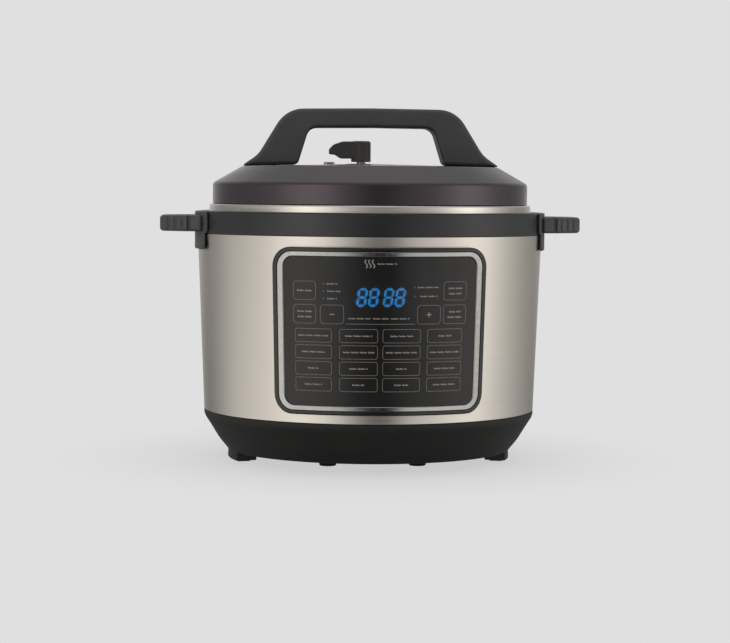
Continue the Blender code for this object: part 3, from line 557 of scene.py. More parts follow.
def base():
    low, high = limits("base_housing")
    top = SHELL_LOW.z - 0.4
    outline = [
        (135.0, 10.0, 2.0), (144.0, 21.0, 60.0), (151.2, 33.0, 50.0), (156.8, 41.6, 14.0),
        (high.x, 44.8, 3.0), (high.x, top, 0.4), (156.2, top), (156.2, high.z), (154.0, high.z),
        (154.0, 44.6), (132.0, 14.8), (105.0, 14.8), (105.0, 12.8), (113.0, 12.8),
        (113.0, 10.0, 0.6),
    ]
    bm = lathe(outline, FACETS)
    legs = []
    for centre in (0.0, 180.0):
        leg = sector(114.5, 134.5, low.z, 12.6, centre, 20.0, 20, lean=0.5)
        legs.append(soften(leg, 0.9, 3, 50.0))
    bm = carve(bm, merge(*legs), "UNION")
    inlet_low, inlet_high = limits("power_inlet")
    window = block((inlet_low.x - 0.3, inlet_high.x + 0.3), (100.0, 170.0),
                   (inlet_low.z - 0.3, inlet_high.z + 0.3))
    bm = carve(bm, merge(window, *(rod(1.9, (at.x, at.y, 5.0), (at.x, at.y, 20.0), 24)
                                   for at in BASE_SCREWS)))
    make("base_bowl", bm, "base_black", "cooker", ["base_housing"])


def bottom():
    """Cover under the base: vent slots, shallow rings, and the feet."""
    low, high = limits("bottom_cover")
    edge = high.x
    outline = [(0.0, high.z), (edge, high.z), (edge, low.z, 0.5)]
    for radius in (96.0, 62.0):
        outline += [(radius + 2.0, low.z), (radius + 1.2, low.z + 0.6), (radius - 1.2, low.z + 0.6),
                    (radius - 2.0, low.z)]
    outline.append((0.0, low.z))
    bm = lathe(outline, 120)
    slots = [block((x - 1.8, x + 1.8), (-34.0, 34.0), (0.0, 20.0), 1.2, 2)
             for x in (-24.0, -12.0, 0.0, 12.0, 24.0)]
    slots += [rod(2.0, (at.x, at.y, 0.0), (at.x, at.y, 20.0), 24) for at in BASE_SCREWS]
    make("base_cover", carve(bm, merge(*slots)), "base_black", "cooker",
         ["bottom_cover"])
    for number, at in enumerate(BASE_SCREWS, 1):
        node = f"base_screw_{number}"
        low, high = limits(node)
        outline = [(0.0, high.z), (1.6, high.z), (1.6, 10.1), (3.2, 10.1), (3.2, low.z, 1.4),
                   (0.0, low.z)]
        make(f"base_cross_screw_{number}", cross_screw(outline, 32, at, low.z, 1.9, 0.4, 0.9),
             "zinc", "cooker", [node])
    for node, centre in (("foot_right", 0.0), ("foot_left", 180.0)):
        low, high = limits(node)
        pad = soften(sector(118.0, 130.0, low.z, high.z, centre, 15.0, 16), 0.6, 2)
        make(f"{node}_pad", pad, "rubber", "cooker", [node])
    for place in ("front_left", "front_right", "rear_left", "rear_right"):
        node = f"foot_{place}"
        low, high = limits(node)
        outline = [(0.0, high.z), (9.0, high.z), (9.0, 5.0, 1.5), (7.6, low.z, 1.0),
                   (4.6, low.z, 0.3), (3.8, low.z + 0.8, 0.3), (0.0, low.z + 0.8)]
        make(f"{node}_rubber", lathe(outline, 48, middle(node), 4), "rubber", "cooker",
             [node])


COLLAR_BOTTOM = SHELL_HIGH.z + 0.3


def collar():
    low, high = limits("top_collar")
    radius, bottom = high.x, COLLAR_BOTTOM
    outline = [
        (radius, bottom, 0.6), (radius, high.z, 1.4), (158.6, high.z, 1.2), (158.2, 219.8, 1.5),
        (135.5, 219.8, 1.5), (135.5, 226.6, 0.8), (130.5, 226.6, 0.6), (130.5, 217.4),
        (159.8, 217.4), (159.8, low.z), (162.0, low.z), (162.0, bottom),
    ]
    bm = lathe(outline, FINE_FACETS)
    boss = block((-22.0, 22.0), (161.0, high.y), (bottom, 228.5), 2.2, 3)
    boss = carve(boss, lathe([(158.9, 240.0), (158.9, 200.0), (80.0, 200.0), (80.0, 240.0)],
                             FINE_FACETS))
    bm = carve(bm, boss, "UNION")
    bm = carve(bm, block((-6.0, 6.0), (150.0, 180.0), (220.0, 224.5)))
    bm = carve(bm, block((-5.0, 5.0), (170.0, 179.9), (205.0, 222.0)))
    make("collar_ring", bm, "collar_black", "cooker", ["top_collar"])


GRIP_HEIGHTS = (217.6, 232.6)
GROOVES_AT = (172.5, 179.0, 185.5, 192.0)


def side_handle(node, turn):
    """Loop grip with finger grooves down its slanted sides, on a curved backing plate."""
    low, high = limits(node)
    reach, plate_r = max(abs(low.x), high.x), 167.2
    back_r = plate_r - 2.25
    outer = rounded([(160.0, -52.0), (176.5, -46.0, 14.0), (reach, -27.0, 16.0),
                     (reach, 27.0, 16.0), (176.5, 46.0, 14.0), (160.0, 52.0)], 10)
    inner = rounded([(171.5, -29.0, 5.0), (185.5, -21.0, 8.0), (185.5, 21.0, 8.0),
                     (171.5, 29.0, 5.0)], 8)
    loop = carve(prism(outer, *GRIP_HEIGHTS), prism(inner, 200.0, 250.0))
    soften(loop, 3.2, 5, 60.0, clamp=False)
    grooves = []
    for side in (-1, 1):
        for x in GROOVES_AT:
            y = side * (46.0 - max(0.0, x - 176.5) * 19.0 / (reach - 176.5) + 0.9)
            grooves.append(rod(2.0, (x, y, 210.0), (x, y, 242.0), 20))
    loop = carve(loop, merge(*grooves))
    loop = carve(loop, lathe([(back_r, 250.0), (back_r, 190.0), (80.0, 190.0), (80.0, 250.0)],
                             FINE_FACETS))
    bottom, top = COLLAR_BOTTOM + 0.4, high.z
    shape = rounded([(-61.2, top, 5.0), (-61.2, bottom, 4.0), (-54.2, bottom, 2.0),
                     (-54.2, low.z, 5.0), (54.2, low.z, 5.0), (54.2, bottom, 2.0),
                     (61.2, bottom, 4.0), (61.2, top, 5.0)], 5)
    plate = soften(prism(shape, 0.0, plate_r - back_r, "y"), 1.2, 3, 60.0)
    plate = turn_about_z(bend(plate, lambda z: back_r, plate_r, 5.0), 90.0)
    bm = carve(plate, loop, "UNION")
    make(f"{node}_grip", turn_about_z(bm, turn), "handle_black", "cooker", [node])


def cup():
    low, high = limits("condensation_cup")
    outside = block((low.x, high.x), (low.y, high.y), (low.z, high.z + 20.0), 4.0, 5)
    outside = carve(outside, block((-99.0, 99.0), (100.0, 250.0), (high.z, 260.0)))
    wall = 1.6
    inside = block((low.x + wall, high.x - wall), (low.y + wall, high.y - wall),
                   (low.z + wall, high.z + 30.0), 2.4, 4)
    bm = carve(outside, inside)
    ribs = [block((x - 0.7, x + 0.7), (high.y - 0.4, high.y), (low.z + 8.0, high.z - 9.0), 0.15, 1)
            for x in (-12.0, -6.0, 0.0, 6.0, 12.0)]
    for rib in ribs:
        shift(rib, 0.0, -0.15)
    make("cup_box", bm, "clear", "condensation_cup", ["condensation_cup"])
    make("cup_ribs", merge(*ribs), "clear", "condensation_cup")


def inlet():
    bm = box_of("power_inlet", 1.6)
    mouth = rounded([(-12.0, 21.0, 1.2), (12.0, 21.0, 1.2), (12.0, 38.0, 5.0),
                     (-12.0, 38.0, 5.0)], 5)
    bm = carve(bm, prism(mouth, 140.0, 170.0, "y"))
    pins = ("live", "neutral", "earth")
    for name in pins:
        at = middle(f"inlet_pin_{name}")
        bm = carve(bm, block((at.x - 1.3, at.x + 1.3), (110.0, 150.0), (at.z - 2.3, at.z + 2.3)))
    make("inlet_socket", bm, "inner_black", "cooker", ["power_inlet"])
    for name in pins:
        node = f"inlet_pin_{name}"
        make(f"pin_blade_{name}", box_of(node, 0.6), "brass", "cooker", [node])


# --- control panel ------------------------------------------------------------
PANEL_LOW, PANEL_HIGH = limits("panel_frame")
PANEL_BEND_R = 166.0           # turns a width on the flat panel into an angle
PANEL_HALF = 102.5
PANEL_CORNER_R = 18.0
PANEL_SIDE_SHARE = 1.38        # how much wider the borders are at the sides than above
PANEL_PITCH = 4.0
FACE_PROUD = 3.2
PRINT_THICKNESS = 0.10
PRINT_LOW = FACE_PROUD + 0.02  # the print stands clear of the face by a hair
PRINT_HIGH = PRINT_LOW + PRINT_THICKNESS
BAR_ROUNDING = 0.48            # a printed bar's corner radius over its height
SIGN_HEIGHT = 147.0            # where the minus and plus signs stand


def panel_outline(inset, steps=8):
    half, radius = PANEL_HALF - inset * PANEL_SIDE_SHARE, max(PANEL_CORNER_R - inset, 2.0)
    low, high = PANEL_LOW.z + inset, PANEL_HIGH.z - inset
    return rounded(rectangle(-half, half, low, high, radius), steps)


def on_shell(bm):
    return bend(bm, shell_radius, PANEL_BEND_R, PANEL_PITCH)


def panel_ring(section):
    """Sweep a section of (inset, proudness) points round the panel's outline."""
    bm = bmesh.new()
    loops = [[bm.verts.new((w, proud, h)) for w, h in panel_outline(inset)]
             for inset, proud in section]
    skin(bm, loops + loops[:1])
    return on_shell(bm)


def panel_body():
    frame_ring = panel_ring(rounded([(0.0, 0.5), (0.0, 4.2, 1.4), (3.6, 4.2, 0.4), (3.6, 1.3),
                                     (10.4, 1.3), (10.4, 0.5)], 5))
    make("panel_bezel", frame_ring, "bezel", "cooker", ["panel_frame"])
    trim = panel_ring(rounded([(3.9, 1.6), (3.9, 4.0, 0.4), (8.2, 4.0, 0.8), (8.2, 1.6)], 6))
    make("panel_trim_ring", trim, "chrome", "cooker", ["panel_trim"])
    face = on_shell(prism(panel_outline(8.5), 1.6, FACE_PROUD, "y"))
    make("panel_glass", face, "panel", "cooker", ["panel_face"])


def ink(outline):
    """A thin printed shape, flat, just above the panel's face."""
    return prism(outline, PRINT_LOW, PRINT_HIGH, "y")


def stick(name, shapes, look):
    """Flat shapes become one printed piece on the panel."""
    make(name, on_shell(merge(*shapes)), look, "cooker", weighted=False)


def key_outline(left, right, low, high, stroke=0.5, radius=2.0):
    """A rounded rectangle drawn as a line, flat."""
    bm = bmesh.new()
    loops = []
    for inset, height in ((0.0, PRINT_LOW), (0.0, PRINT_HIGH), (stroke, PRINT_HIGH),
                          (stroke, PRINT_LOW)):
        corners = rectangle(left + inset, right - inset, low + inset, high - inset,
                            radius - inset)
        loops.append([bm.verts.new((w, height, h)) for w, h in rounded(corners, 5)])
    skin(bm, loops + loops[:1])
    return bm


def bar(centre, z, width, height):
    """A printed bar with round ends."""
    return ink(rounded(rectangle(centre - width / 2, centre + width / 2, z - height / 2,
                                 z + height / 2, BAR_ROUNDING * height), 3))


def words(centre, z, width, height=1.5):
    """A stand-in for a legend: rows of small upright marks, grouped like words."""
    marks = []
    step, gap, group = 1.1, 1.1, 6
    count = max(2, round((width + gap) / (step + gap / group)))
    length = (count - 1) * step + (count - 1) // group * gap
    x = centre - length / 2
    for k in range(count):
        tall = height if k % group in (0, 3) else 0.72 * height
        low = z - height / 2
        marks.append(ink([(x - 0.4, low), (x + 0.4, low), (x + 0.4, low + tall),
                          (x - 0.4, low + tall)]))
        x += step + (gap if k % group == group - 1 else 0.0)
    return marks


KEY_COLUMNS = (-62.4, -20.6, 18.5, 59.6)       # middles of the four columns of programme keys
KEY_ROWS = (128.0, 113.4, 98.8, 84.3)
KEY_WIDTH, KEY_HEIGHT = 34.8, 12.4
LEGEND_SHARES = (                              # length of each key's legend over the key's width
    (0.82, 0.66, 0.60, 0.38),
    (0.64, 0.80, 0.80, 0.84),
    (0.26, 0.46, 0.26, 0.60),
    (0.44, 0.30, 0.38, 0.62),
)
# function keys: left, right, low, high, legend lines as (height above the middle, width)
FUNCTION_KEYS = (
    (-81.2, -59.4, 159.5, 176.4, ((0.0, 14.0),)),
    (-81.2, -59.4, 138.4, 155.6, ((2.4, 14.0), (-2.4, 13.0))),
    (-55.6, -33.8, 138.4, 155.6, ()),
    (32.2, 54.6, 138.4, 155.6, ()),
    (57.0, 80.6, 159.5, 176.4, ((2.4, 14.0), (-2.4, 13.0))),
    (57.0, 80.6, 138.4, 155.6, ((2.4, 12.0), (-2.4, 14.0))),
)
# free legends: middle, height, length
LEGENDS = (
    (-44.4, 174.2, 9.0), (-43.0, 167.6, 12.0), (-44.6, 161.0, 8.0),
    (42.0, 171.4, 20.0), (43.0, 163.4, 15.0),
    (-20.0, 143.6, 19.0), (-0.6, 143.6, 14.5), (16.8, 143.6, 15.0), (4.7, 192.2, 17.0),
)
LAMPS = ((-52.4, 174.2), (-52.4, 167.6), (-52.4, 161.0), (29.6, 171.4), (29.6, 163.4))
LAMP_R = 0.75
STEAM_FOOT, STEAM_STEP, STEAM_HALF = 188.4, 0.62, 0.55


def panel_print():
    """Key outlines, legends as rows of small marks, the minus and plus signs, and the lamps."""
    outlines, legends = [], []
    for row, z in enumerate(KEY_ROWS):
        for column, centre in enumerate(KEY_COLUMNS):
            half = KEY_WIDTH / 2
            outlines.append(key_outline(centre - half, centre + half, z - KEY_HEIGHT / 2,
                                        z + KEY_HEIGHT / 2))
            legends += words(centre, z, LEGEND_SHARES[row][column] * KEY_WIDTH)
    for left, right, low, high, lines in FUNCTION_KEYS:
        outlines.append(key_outline(left, right, low, high, radius=3.2))
        for rise, width in lines:
            legends += words((left + right) / 2, (low + high) / 2 + rise, width, 1.6)
    for centre, z, width in LEGENDS:
        legends += words(centre, z, width, 1.3)
    arm, half = 2.3, 0.45
    legends.append(bar(-44.7, SIGN_HEIGHT, 2 * arm, 2 * half))
    plus = [(-arm, -half), (-half, -half), (-half, -arm), (half, -arm), (half, -half),
            (arm, -half), (arm, half), (half, half), (half, arm), (-half, arm), (-half, half),
            (-arm, half)]
    legends.append(ink([(43.4 + x, SIGN_HEIGHT + y) for x, y in plus]))
    outlines.append(ink([(-32.0, 138.4), (30.0, 138.4), (30.0, 138.95), (-32.0, 138.95)]))
    stick("panel_key_outlines", outlines, "outline")
    stick("panel_legends", legends, "legend")
    steam = []
    for offset in (-14.1, -10.9, -7.7):
        wave = [(offset + math.sin(step * math.pi / 6), STEAM_FOOT + STEAM_STEP * step)
                for step in range(13)]
        steam.append(ink([(x - STEAM_HALF, z) for x, z in wave]
                         + [(x + STEAM_HALF, z) for x, z in reversed(wave)]))
    stick("panel_steam_mark", steam, "legend")
    dots = [ink([(x + LAMP_R * math.cos(k * math.pi / 8), z + LAMP_R * math.sin(k * math.pi / 8))
                 for k in range(16)]) for x, z in LAMPS]
    stick("panel_lamps", dots, "lamp")


DIGIT_CENTRES = (-17.6, -7.2, 6.0, 16.4)
DIGIT_Z, DIGIT_WIDTH, DIGIT_HEIGHT, DIGIT_STROKE = 162.4, 8.8, 16.4, 2.0
GLOW_STROKE = 5.0
DIGIT_SLANT = math.tan(math.radians(8.0))


def segment(start, end, stroke, gap=0.28):
    """A seven-segment bar with pointed ends between two points."""
    start, end = Vector(start), Vector(end)
    along = (end - start).normalized()
    across = Vector((-along.y, along.x)) * stroke / 2
    start += along * gap
    end -= along * gap
    tip = along * stroke / 2
    return [start, start + tip - across, end - tip - across, end, end - tip + across,
            start + tip + across]


def display():
    """Four lit digits with every segment on, in a faint glow."""
    w, h = (DIGIT_WIDTH - DIGIT_STROKE) / 2, (DIGIT_HEIGHT - DIGIT_STROKE) / 2
    bars = [((-w, h), (w, h)), ((-w, 0.0), (w, 0.0)), ((-w, -h), (w, -h)),
            ((-w, 0.0), (-w, h)), ((w, 0.0), (w, h)), ((-w, -h), (-w, 0.0)), ((w, -h), (w, 0.0))]
    for name, look, stroke, rise in (("display_glow", "glow", GLOW_STROKE, 0.0),
                                     ("display_digits", "digits", DIGIT_STROKE, 0.12)):
        shapes = []
        for centre in DIGIT_CENTRES:
            for start, end in bars:
                shape = segment(start, end, stroke)
                flat = ink([(centre + p.x + p.y * DIGIT_SLANT, DIGIT_Z + p.y) for p in shape])
                shapes.append(shift(flat, 0.0, rise))
        stick(name, shapes, look)


# --- pot, seal, inside --------------------------------------------------------
def pot():
    low, high = limits("inner_pot")
    wall, radius, rim, corner = 1.2, 124.5, high.x, 12.0
    outline = [(0.0, low.z), (radius, low.z, corner), (radius, high.z - 1.6, 0.8),
               (rim, high.z - 1.6, 0.7), (rim, high.z, 0.7), (radius - wall, high.z, 1.1)]
    inside = radius - wall
    for z in (190.0, 160.0, 130.0, 100.0):      # faint rolled fill lines
        outline += [(inside, z + 1.0), (inside - 0.35, z + 0.4, 0.3), (inside - 0.35, z - 0.4, 0.3),
                    (inside, z - 1.0)]
    outline += [(inside, low.z + wall, corner - wall), (0.0, low.z + wall)]
    make("pot_bowl", lathe(outline, FACETS, steps=8), "pot_steel", "pot",
         ["inner_pot"])


def seal():
    low, high = limits("sealing_ring")
    outline = [(134.0, low.z, 2.0), (134.0, high.z, 2.5), (118.0, high.z, 1.6),
               (116.2, 243.0, 1.2), (122.0, 241.4, 1.0), (122.0, 238.6, 1.0),
               (116.2, 237.0, 1.2), (117.0, low.z, 1.5)]
    make("seal_ring", lathe(outline, FACETS, steps=5), "silicone", "seal",
         ["sealing_ring"])


LUG_COUNT, LUG_PHASE, LUG_HALF_ANGLE = 6, 15.0, 13.0


def lugs(inner, outer, low, high):
    """The bayonet's lugs, all round, with softened corners."""
    parts = []
    for number in range(LUG_COUNT):
        lug = sector(inner, outer, low, high, LUG_PHASE + 60.0 * number, LUG_HALF_ANGLE, 10)
        parts.append(soften(lug, 0.45, 2, 50.0))
    return merge(*parts)


def liner():
    low, high = limits("liner_pot")
    radius, wall = 128.0, 1.5
    inner = radius - wall
    outline = [
        (139.0, high.z, 0.6), (139.0, high.z - 2.0), (radius, high.z - 2.0, 0.8),
        (radius, low.z, 6.0), (70.0, low.z), (70.0, low.z + wall), (inner, low.z + wall, 5.0),
        (inner, high.z, 1.0),
    ]
    bm = carve(lathe(outline), lugs(137.0, 150.0, high.z - 1.8, high.z - 0.2), "UNION")
    make("liner_well", bm, "liner_steel", "cooker", ["liner_pot"])


def heater():
    low, high = limits("heating_plate")
    top = [(93.0, high.z, 1.2)]
    for radius in (84.0, 70.0, 56.0, 42.0, 28.0):     # turned grooves
        top += [(radius + 0.7, high.z), (radius, high.z - 0.35), (radius - 0.7, high.z)]
    outline = top + [(17.5, high.z, 0.8), (17.5, low.z + 2.0), (56.0, low.z + 2.0),
                     (58.0, low.z), (74.0, low.z), (76.0, low.z + 2.0), (93.0, low.z + 2.0)]
    make("heater_plate", lathe(outline, 120), "plate", "cooker", ["heating_plate"])
    low, high = limits("sensor_cap")
    outline = [(0.0, high.z), (14.0, high.z, 1.6), (14.0, low.z, 0.4), (12.6, low.z),
               (12.6, high.z - 2.0), (0.0, high.z - 2.0)]
    make("sensor_button", lathe(outline, 48), "plate", "sensor", ["sensor_cap"])


def sensor_coil():
    """The sensor's spring: its foot stays on the bracket."""
    low, high = limits("sensor_spring")
    wire, turns, per_turn, around = 0.6, 4, 36, 12
    radius = -low.x - wire
    bm = bmesh.new()
    rings = []
    for step in range(turns * per_turn + 1):
        angle = 2 * math.pi * step / per_turn
        z = low.z + wire + (high.z - low.z - 2 * wire) * step / (turns * per_turn)
        ring = []
        for k in range(around):
            side = 2 * math.pi * k / around
            out = radius + wire * math.cos(side)
            ring.append(bm.verts.new((out * math.cos(angle), out * math.sin(angle),
                                      z + wire * math.sin(side))))
        rings.append(ring)
    skin(bm, rings)
    bm.faces.new(rings[0])
    bm.faces.new(rings[-1])
    made = make("sensor_coil", bm, "zinc", "cooker", ["sensor_spring"])
    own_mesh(made)


# --- lid ----------------------------------------------------------------------
SCREW_AT = middle("handle_screw_right").x
SCREW_HOLES = [(SCREW_AT, 0.0, 2.8), (-SCREW_AT, 0.0, 2.8)]      # x, y, radius


def holes_for(places, low, high, facets=40):
    """Rods that cut holes at (x, y, radius)."""
    return merge(*(rod(radius, (x, y, low), (x, y, high), facets) for x, y, radius in places))


def lid_steel():
    low, high = limits("lid_shell")
    t, skirt, rim, shoulder = 1.8, high.x, 153.2, 243.4
    outline = [
        (skirt, low.z, 0.6), (rim + 0.4, 237.5, 20.0), (rim, shoulder, 1.6), (147.0, shoulder, 2.5),
        (138.5, 251.0, 3.0), (116.5, 251.0, 4.0), (107.0, 258.0, 8.0), (70.0, 262.2, 60.0),
        (0.0, high.z), (0.0, high.z - t), (70.0, 262.2 - t, 60.0), (106.2, 256.2, 8.0),
        (115.8, 251.0 - t, 3.0), (137.8, 251.0 - t, 3.0), (146.2, shoulder - t, 2.5),
        (rim - 2.0, shoulder - t, 1.5), (rim - 1.4, 237.5, 20.0), (skirt - t, low.z, 0.4),
    ]
    bm = lathe(outline, 192)
    bm = carve(bm, lugs(144.5, skirt - 0.6, low.z + 0.2, low.z + 2.4), "UNION")
    places = [(VALVE.x, VALVE.y, 5.0), (FLOAT.x, FLOAT.y, 3.2), *SCREW_HOLES]
    bm = carve(bm, holes_for(places, 250.0, 275.0))
    make("lid_steel_dome", bm, "lid_steel", "lid", ["lid_shell"])


def lid_cover():
    low, high = limits("lid_cover")
    t, radius, edge = 2.5, high.x, 122.4
    outline = [
        (radius, low.z, 0.6), (radius, 263.3, 4.0), (edge, 279.2, 5.0), (60.0, high.z - 1.6, 80.0),
        (0.0, high.z), (0.0, high.z - t), (edge - 1.0, 276.4), (radius - t, 261.4),
        (radius - t, low.z),
    ]
    bm = lathe(outline, FINE_FACETS)
    ring = [(14.5, high.z - 3.0), (14.5, high.z + 0.3, 0.5), (11.4, high.z + 0.3, 0.4),
            (10.6, high.z - 3.0)]
    bm = carve(bm, lathe(ring, 64, (VALVE.x, VALVE.y), 4), "UNION")
    places = [(VALVE.x, VALVE.y, 9.6), (FLOAT.x, FLOAT.y, 3.4), *SCREW_HOLES]
    bm = carve(bm, holes_for(places, 265.0, 295.0))
    make("lid_cap", bm, "lid_black", "lid", ["lid_cover"])


GRIP_FROM = 284.0              # the arch starts to narrow here
GRIP_NARROWING = 0.10


def lid_handle():
    _, high = limits("lid_handle")
    top, half = high.z, high.y
    side = [(0.0, top), (80.6, top - 0.9, 29.0), (107.0, 290.6, 30.0), (123.0, 279.6),
            (69.8, 281.0), (59.0, 316.1, 11.0), (0.0, 316.7)]
    outline = rounded(side + [(-corner[0], *corner[1:]) for corner in side[-2:0:-1]], 8)
    bm = prism(outline, -half, half, "y")
    soften(bm, 4.5, 5, 60.0)
    for vert in bm.verts:                       # the grip is a little narrower than the feet
        rise = min(1.0, max(0.0, (vert.co.z - GRIP_FROM) / (top - GRIP_FROM)))
        vert.co.y *= 1.0 - GRIP_NARROWING * rise * rise * (3.0 - 2.0 * rise)
    bm = carve(bm, holes_for(SCREW_HOLES, 270.0, 297.0))
    make("lid_arch", bm, "handle_black", "lid", ["lid_handle"], 40.0)


def under_lid():
    """Rack, outlet pipe, shield and screws."""
    low, high = limits("ring_rack")
    section = [(113.4 + 1.4 * math.cos(k * math.pi / 6), 240.0 + 1.4 * math.sin(k * math.pi / 6))
               for k in range(12)]
    parts = [lathe(section, FACETS)]
    for number in range(6):
        angle = math.radians(30.0 + 60.0 * number)
        x, y = 112.8 * math.cos(angle), 112.8 * math.sin(angle)
        parts.append(rod(1.2, (x, y, 240.0), (x, y, high.z), 16))
    make("rack_wire", merge(*parts), "zinc", "lid", ["ring_rack"])

    at = (VALVE.x, VALVE.y)
    low, high = limits("steam_pipe")
    outline = [(1.6, high.z, 0.3), (4.4, high.z, 0.6), (4.4, 268.0), (8.0, 268.0, 0.5),
               (8.0, 264.4), (4.4, 264.4)]
    z = 262.0
    while z > 249.0:                            # thread under the lid
        outline += [(4.4, z), (4.05, z - 0.5)]
        z -= 1.0
    outline += [(4.4, low.z, 0.5), (1.6, low.z)]
    make("outlet_pipe", lathe(outline, 48, at, 3), "zinc", "lid", ["steam_pipe"])
    low, high = limits("anti_block_shield")
    outline = [(0.0, low.z), (13.0, low.z, 1.0), (15.0, low.z + 2.0, 1.5), (15.0, high.z, 0.5),
               (13.8, high.z), (13.8, low.z + 2.6), (12.6, low.z + 1.2), (0.0, low.z + 1.2)]
    shield = lathe(outline, 64, at)
    slots = []
    for step in range(6):
        slot = block((6.0, 20.0), (-1.1, 1.1), (245.5, 253.5), 0.5, 2)
        slots.append(shift(turn_about_z(slot, 60.0 * step), *at))
    make("shield_cap", carve(shield, merge(*slots)), "lid_steel", "lid",
         ["anti_block_shield"])
    for side, x in (("right", SCREW_AT), ("left", -SCREW_AT)):
        node = f"handle_screw_{side}"
        low, high = limits(node)
        outline = [(0.0, high.z), (2.2, high.z, 0.5), (2.2, 256.6), (4.6, 256.6), (4.6, low.z, 2.4),
                   (0.0, low.z)]
        screw = cross_screw(outline, 40, (x, 0.0), low.z, 2.6, 0.5, 1.6)
        make(f"handle_cross_screw_{side}", screw, "zinc", "lid", [node])


NOSE_FROM, NOSE_LENGTH, NOSE_NARROWING = 4.0, 27.0, 0.35


def valve():
    """Knob with a pointed nose, the weight inside it, and the float valve."""
    at = (VALVE.x, VALVE.y)
    low, high = limits("release_knob")
    radius = 9.6
    body = lathe([(0.0, high.z), (radius, high.z, 2.4), (radius, low.z, 0.6), (0.0, low.z)], 64,
                 at)
    side = rounded([(8.4, 287.8), (8.4, high.z - 0.5, 2.0), (-18.5, high.z - 0.5, 14.0),
                    (-27.0, 301.4, 7.0), (-31.4, 296.8, 3.0), (-31.2, 292.0, 1.2),
                    (-25.5, 291.4, 3.0), (-20.0, 287.8, 6.0)], 6)
    nose = prism(side, -7.4, 7.4, "y")
    for vert in nose.verts:                     # the nose narrows towards its tip
        share = min(1.0, max(0.0, (-vert.co.x - NOSE_FROM) / NOSE_LENGTH))
        vert.co.y *= 1.0 - NOSE_NARROWING * share * share
    bm = carve(body, shift(soften(nose, 1.6, 3, 50.0), *at), "UNION")
    bm = carve(bm, rod(7.2, (*at, 280.0), (*at, 303.0), 48))
    # The knob's material carries painted light: a colour lighter than the handle's, to offset the
    # shade under the arch.
    make("valve_knob_cap", bm, "knob_lightened_against_shade", "valve_knob", ["release_knob"])

    low, high = limits("valve_weight")
    outline = [(0.0, high.z), (6.6, high.z, 1.0), (6.6, 291.6, 1.0), (1.2, 291.6), (1.2, 287.6),
               (0.0, low.z)]
    make("weight_slug", lathe(outline, 48, at), "brass", "valve_weight",
         ["valve_weight"])

    at = (FLOAT.x, FLOAT.y)
    low, high = limits("float_valve")
    outline = [(0.0, high.z), (5.4, high.z, 1.0), (5.4, 281.3, 0.4), (2.6, 281.3),
               (2.6, low.z, 0.8), (0.0, low.z)]
    make("float_pin", lathe(outline, 48, at), "zinc", "float_valve",
         ["float_valve"])
    low, high = limits("float_gasket")
    outline = [(6.8, low.z, 0.9), (6.8, 250.8, 0.8), (5.4, high.z, 0.9), (2.9, high.z),
               (2.9, low.z)]
    make("float_cap", lathe(outline, 48, at), "gasket", "float_valve",
         ["float_gasket"])


# --- CAD nodes that keep their own mesh ---------------------------------------
KEPT = {
    "support_plate": "zinc", "sensor_bracket": "zinc", "thermal_fuse": "zinc",
    "pipe_nut": "zinc", "lock_slider": "zinc",
    "pressure_switch": "inner_black", "power_transformer": "inner_black",
    "panel_housing": "inner_black", "display_module": "inner_black",
    "ribbon_cable": "inner_black", "power_board": "board", "control_board": "board",
    "power_relay": "relay", "wire_live": "brown", "wire_neutral": "blue", "wire_earth": "green",
}


def keep_nodes():
    for node, look in KEPT.items():
        made = frame["nodes"][node]
        made.data.materials.clear()
        made.data.materials.append(LOOKS[look])


# --- studio -------------------------------------------------------------------
BACKGROUND = linear(224, 224, 224)

# The surround's brightness by compass angle from straight ahead of the front (degrees, to the
# object's right): one ring below eye level and one at eye level, where two soft boxes stand.
# A dark gap lies about the viewer. The rest is by elevation alone.
BELOW_EYE_LEVEL = (
    (-180, 0.50), (-150, 0.14), (-127, 0.46), (-107, 0.98), (-87, 1.26), (-62, 1.38),
    (-37, 1.22), (-24, 1.04), (-15, 0.62), (-8, 0.18), (-1, 0.05), (8, 0.04), (13, 0.16),
    (19, 0.84), (28, 1.12), (48, 1.26), (66, 1.20), (88, 0.94), (108, 0.72), (128, 0.42),
    (150, 0.20), (180, 0.50))
AT_EYE_LEVEL = (
    (-180, 0.85), (-160, 0.60), (-140, 0.30), (-96, 0.26), (-76, 0.50), (-61, 1.45),
    (-48, 2.15), (-34, 1.45), (-20, 0.56), (-8, 0.34), (2, 0.22), (20, 0.26), (36, 0.42),
    (50, 0.85), (60, 1.55), (71, 2.10), (83, 1.45), (98, 0.60), (116, 0.32), (140, 0.34),
    (160, 0.62), (180, 0.85))
BY_ELEVATION = ((-90, 0.14), (-30, 0.22), (0, 0.46), (20, 0.54), (38, 0.42), (60, 0.76),
                (90, 0.84))
RINGS_SHARE = ((-90, 0.0), (-40, 0.0), (-16, 1.0), (7, 1.0), (20, 0.22), (50, 0.0), (90, 0.0))
EYE_LEVEL_SHARE = ((-90, 0.0), (-5, 0.0), (-1.5, 1.0), (90, 1.0))
BRIGHTEST = 2.4
SOFT_BOX_TINT = (1.0, 0.955, 0.91)
# The floor's shadow, partly painted: a fixed radial fade about the origin, full within one radius
# (metres), gone beyond the other, and the share of the floor's own glow that stays where it is
# full. The rest of the floor there is lit and takes the real shadow.
SHADOW_FULL, SHADOW_END, GLOW_IN_SHADOW = 0.10, 0.34, 0.77
FLOOR_HALF, FLOOR_DROP = 12.0, 0.0004
LIT_FLOOR = (0.8, 0.8, 0.8, 1.0)


def add_node(tree, kind, *sources, **settings):
    """A shader node's first output; its inputs are fed in order by sockets or values."""
    made = tree.nodes.new(kind)
    for name, value in settings.items():
        setattr(made, name, value)
    for socket, source in zip(made.inputs, sources):
        if isinstance(source, bpy.types.NodeSocket):
            tree.links.new(source, socket)
        elif source is not None:
            socket.default_value = source
    return made.outputs[0]


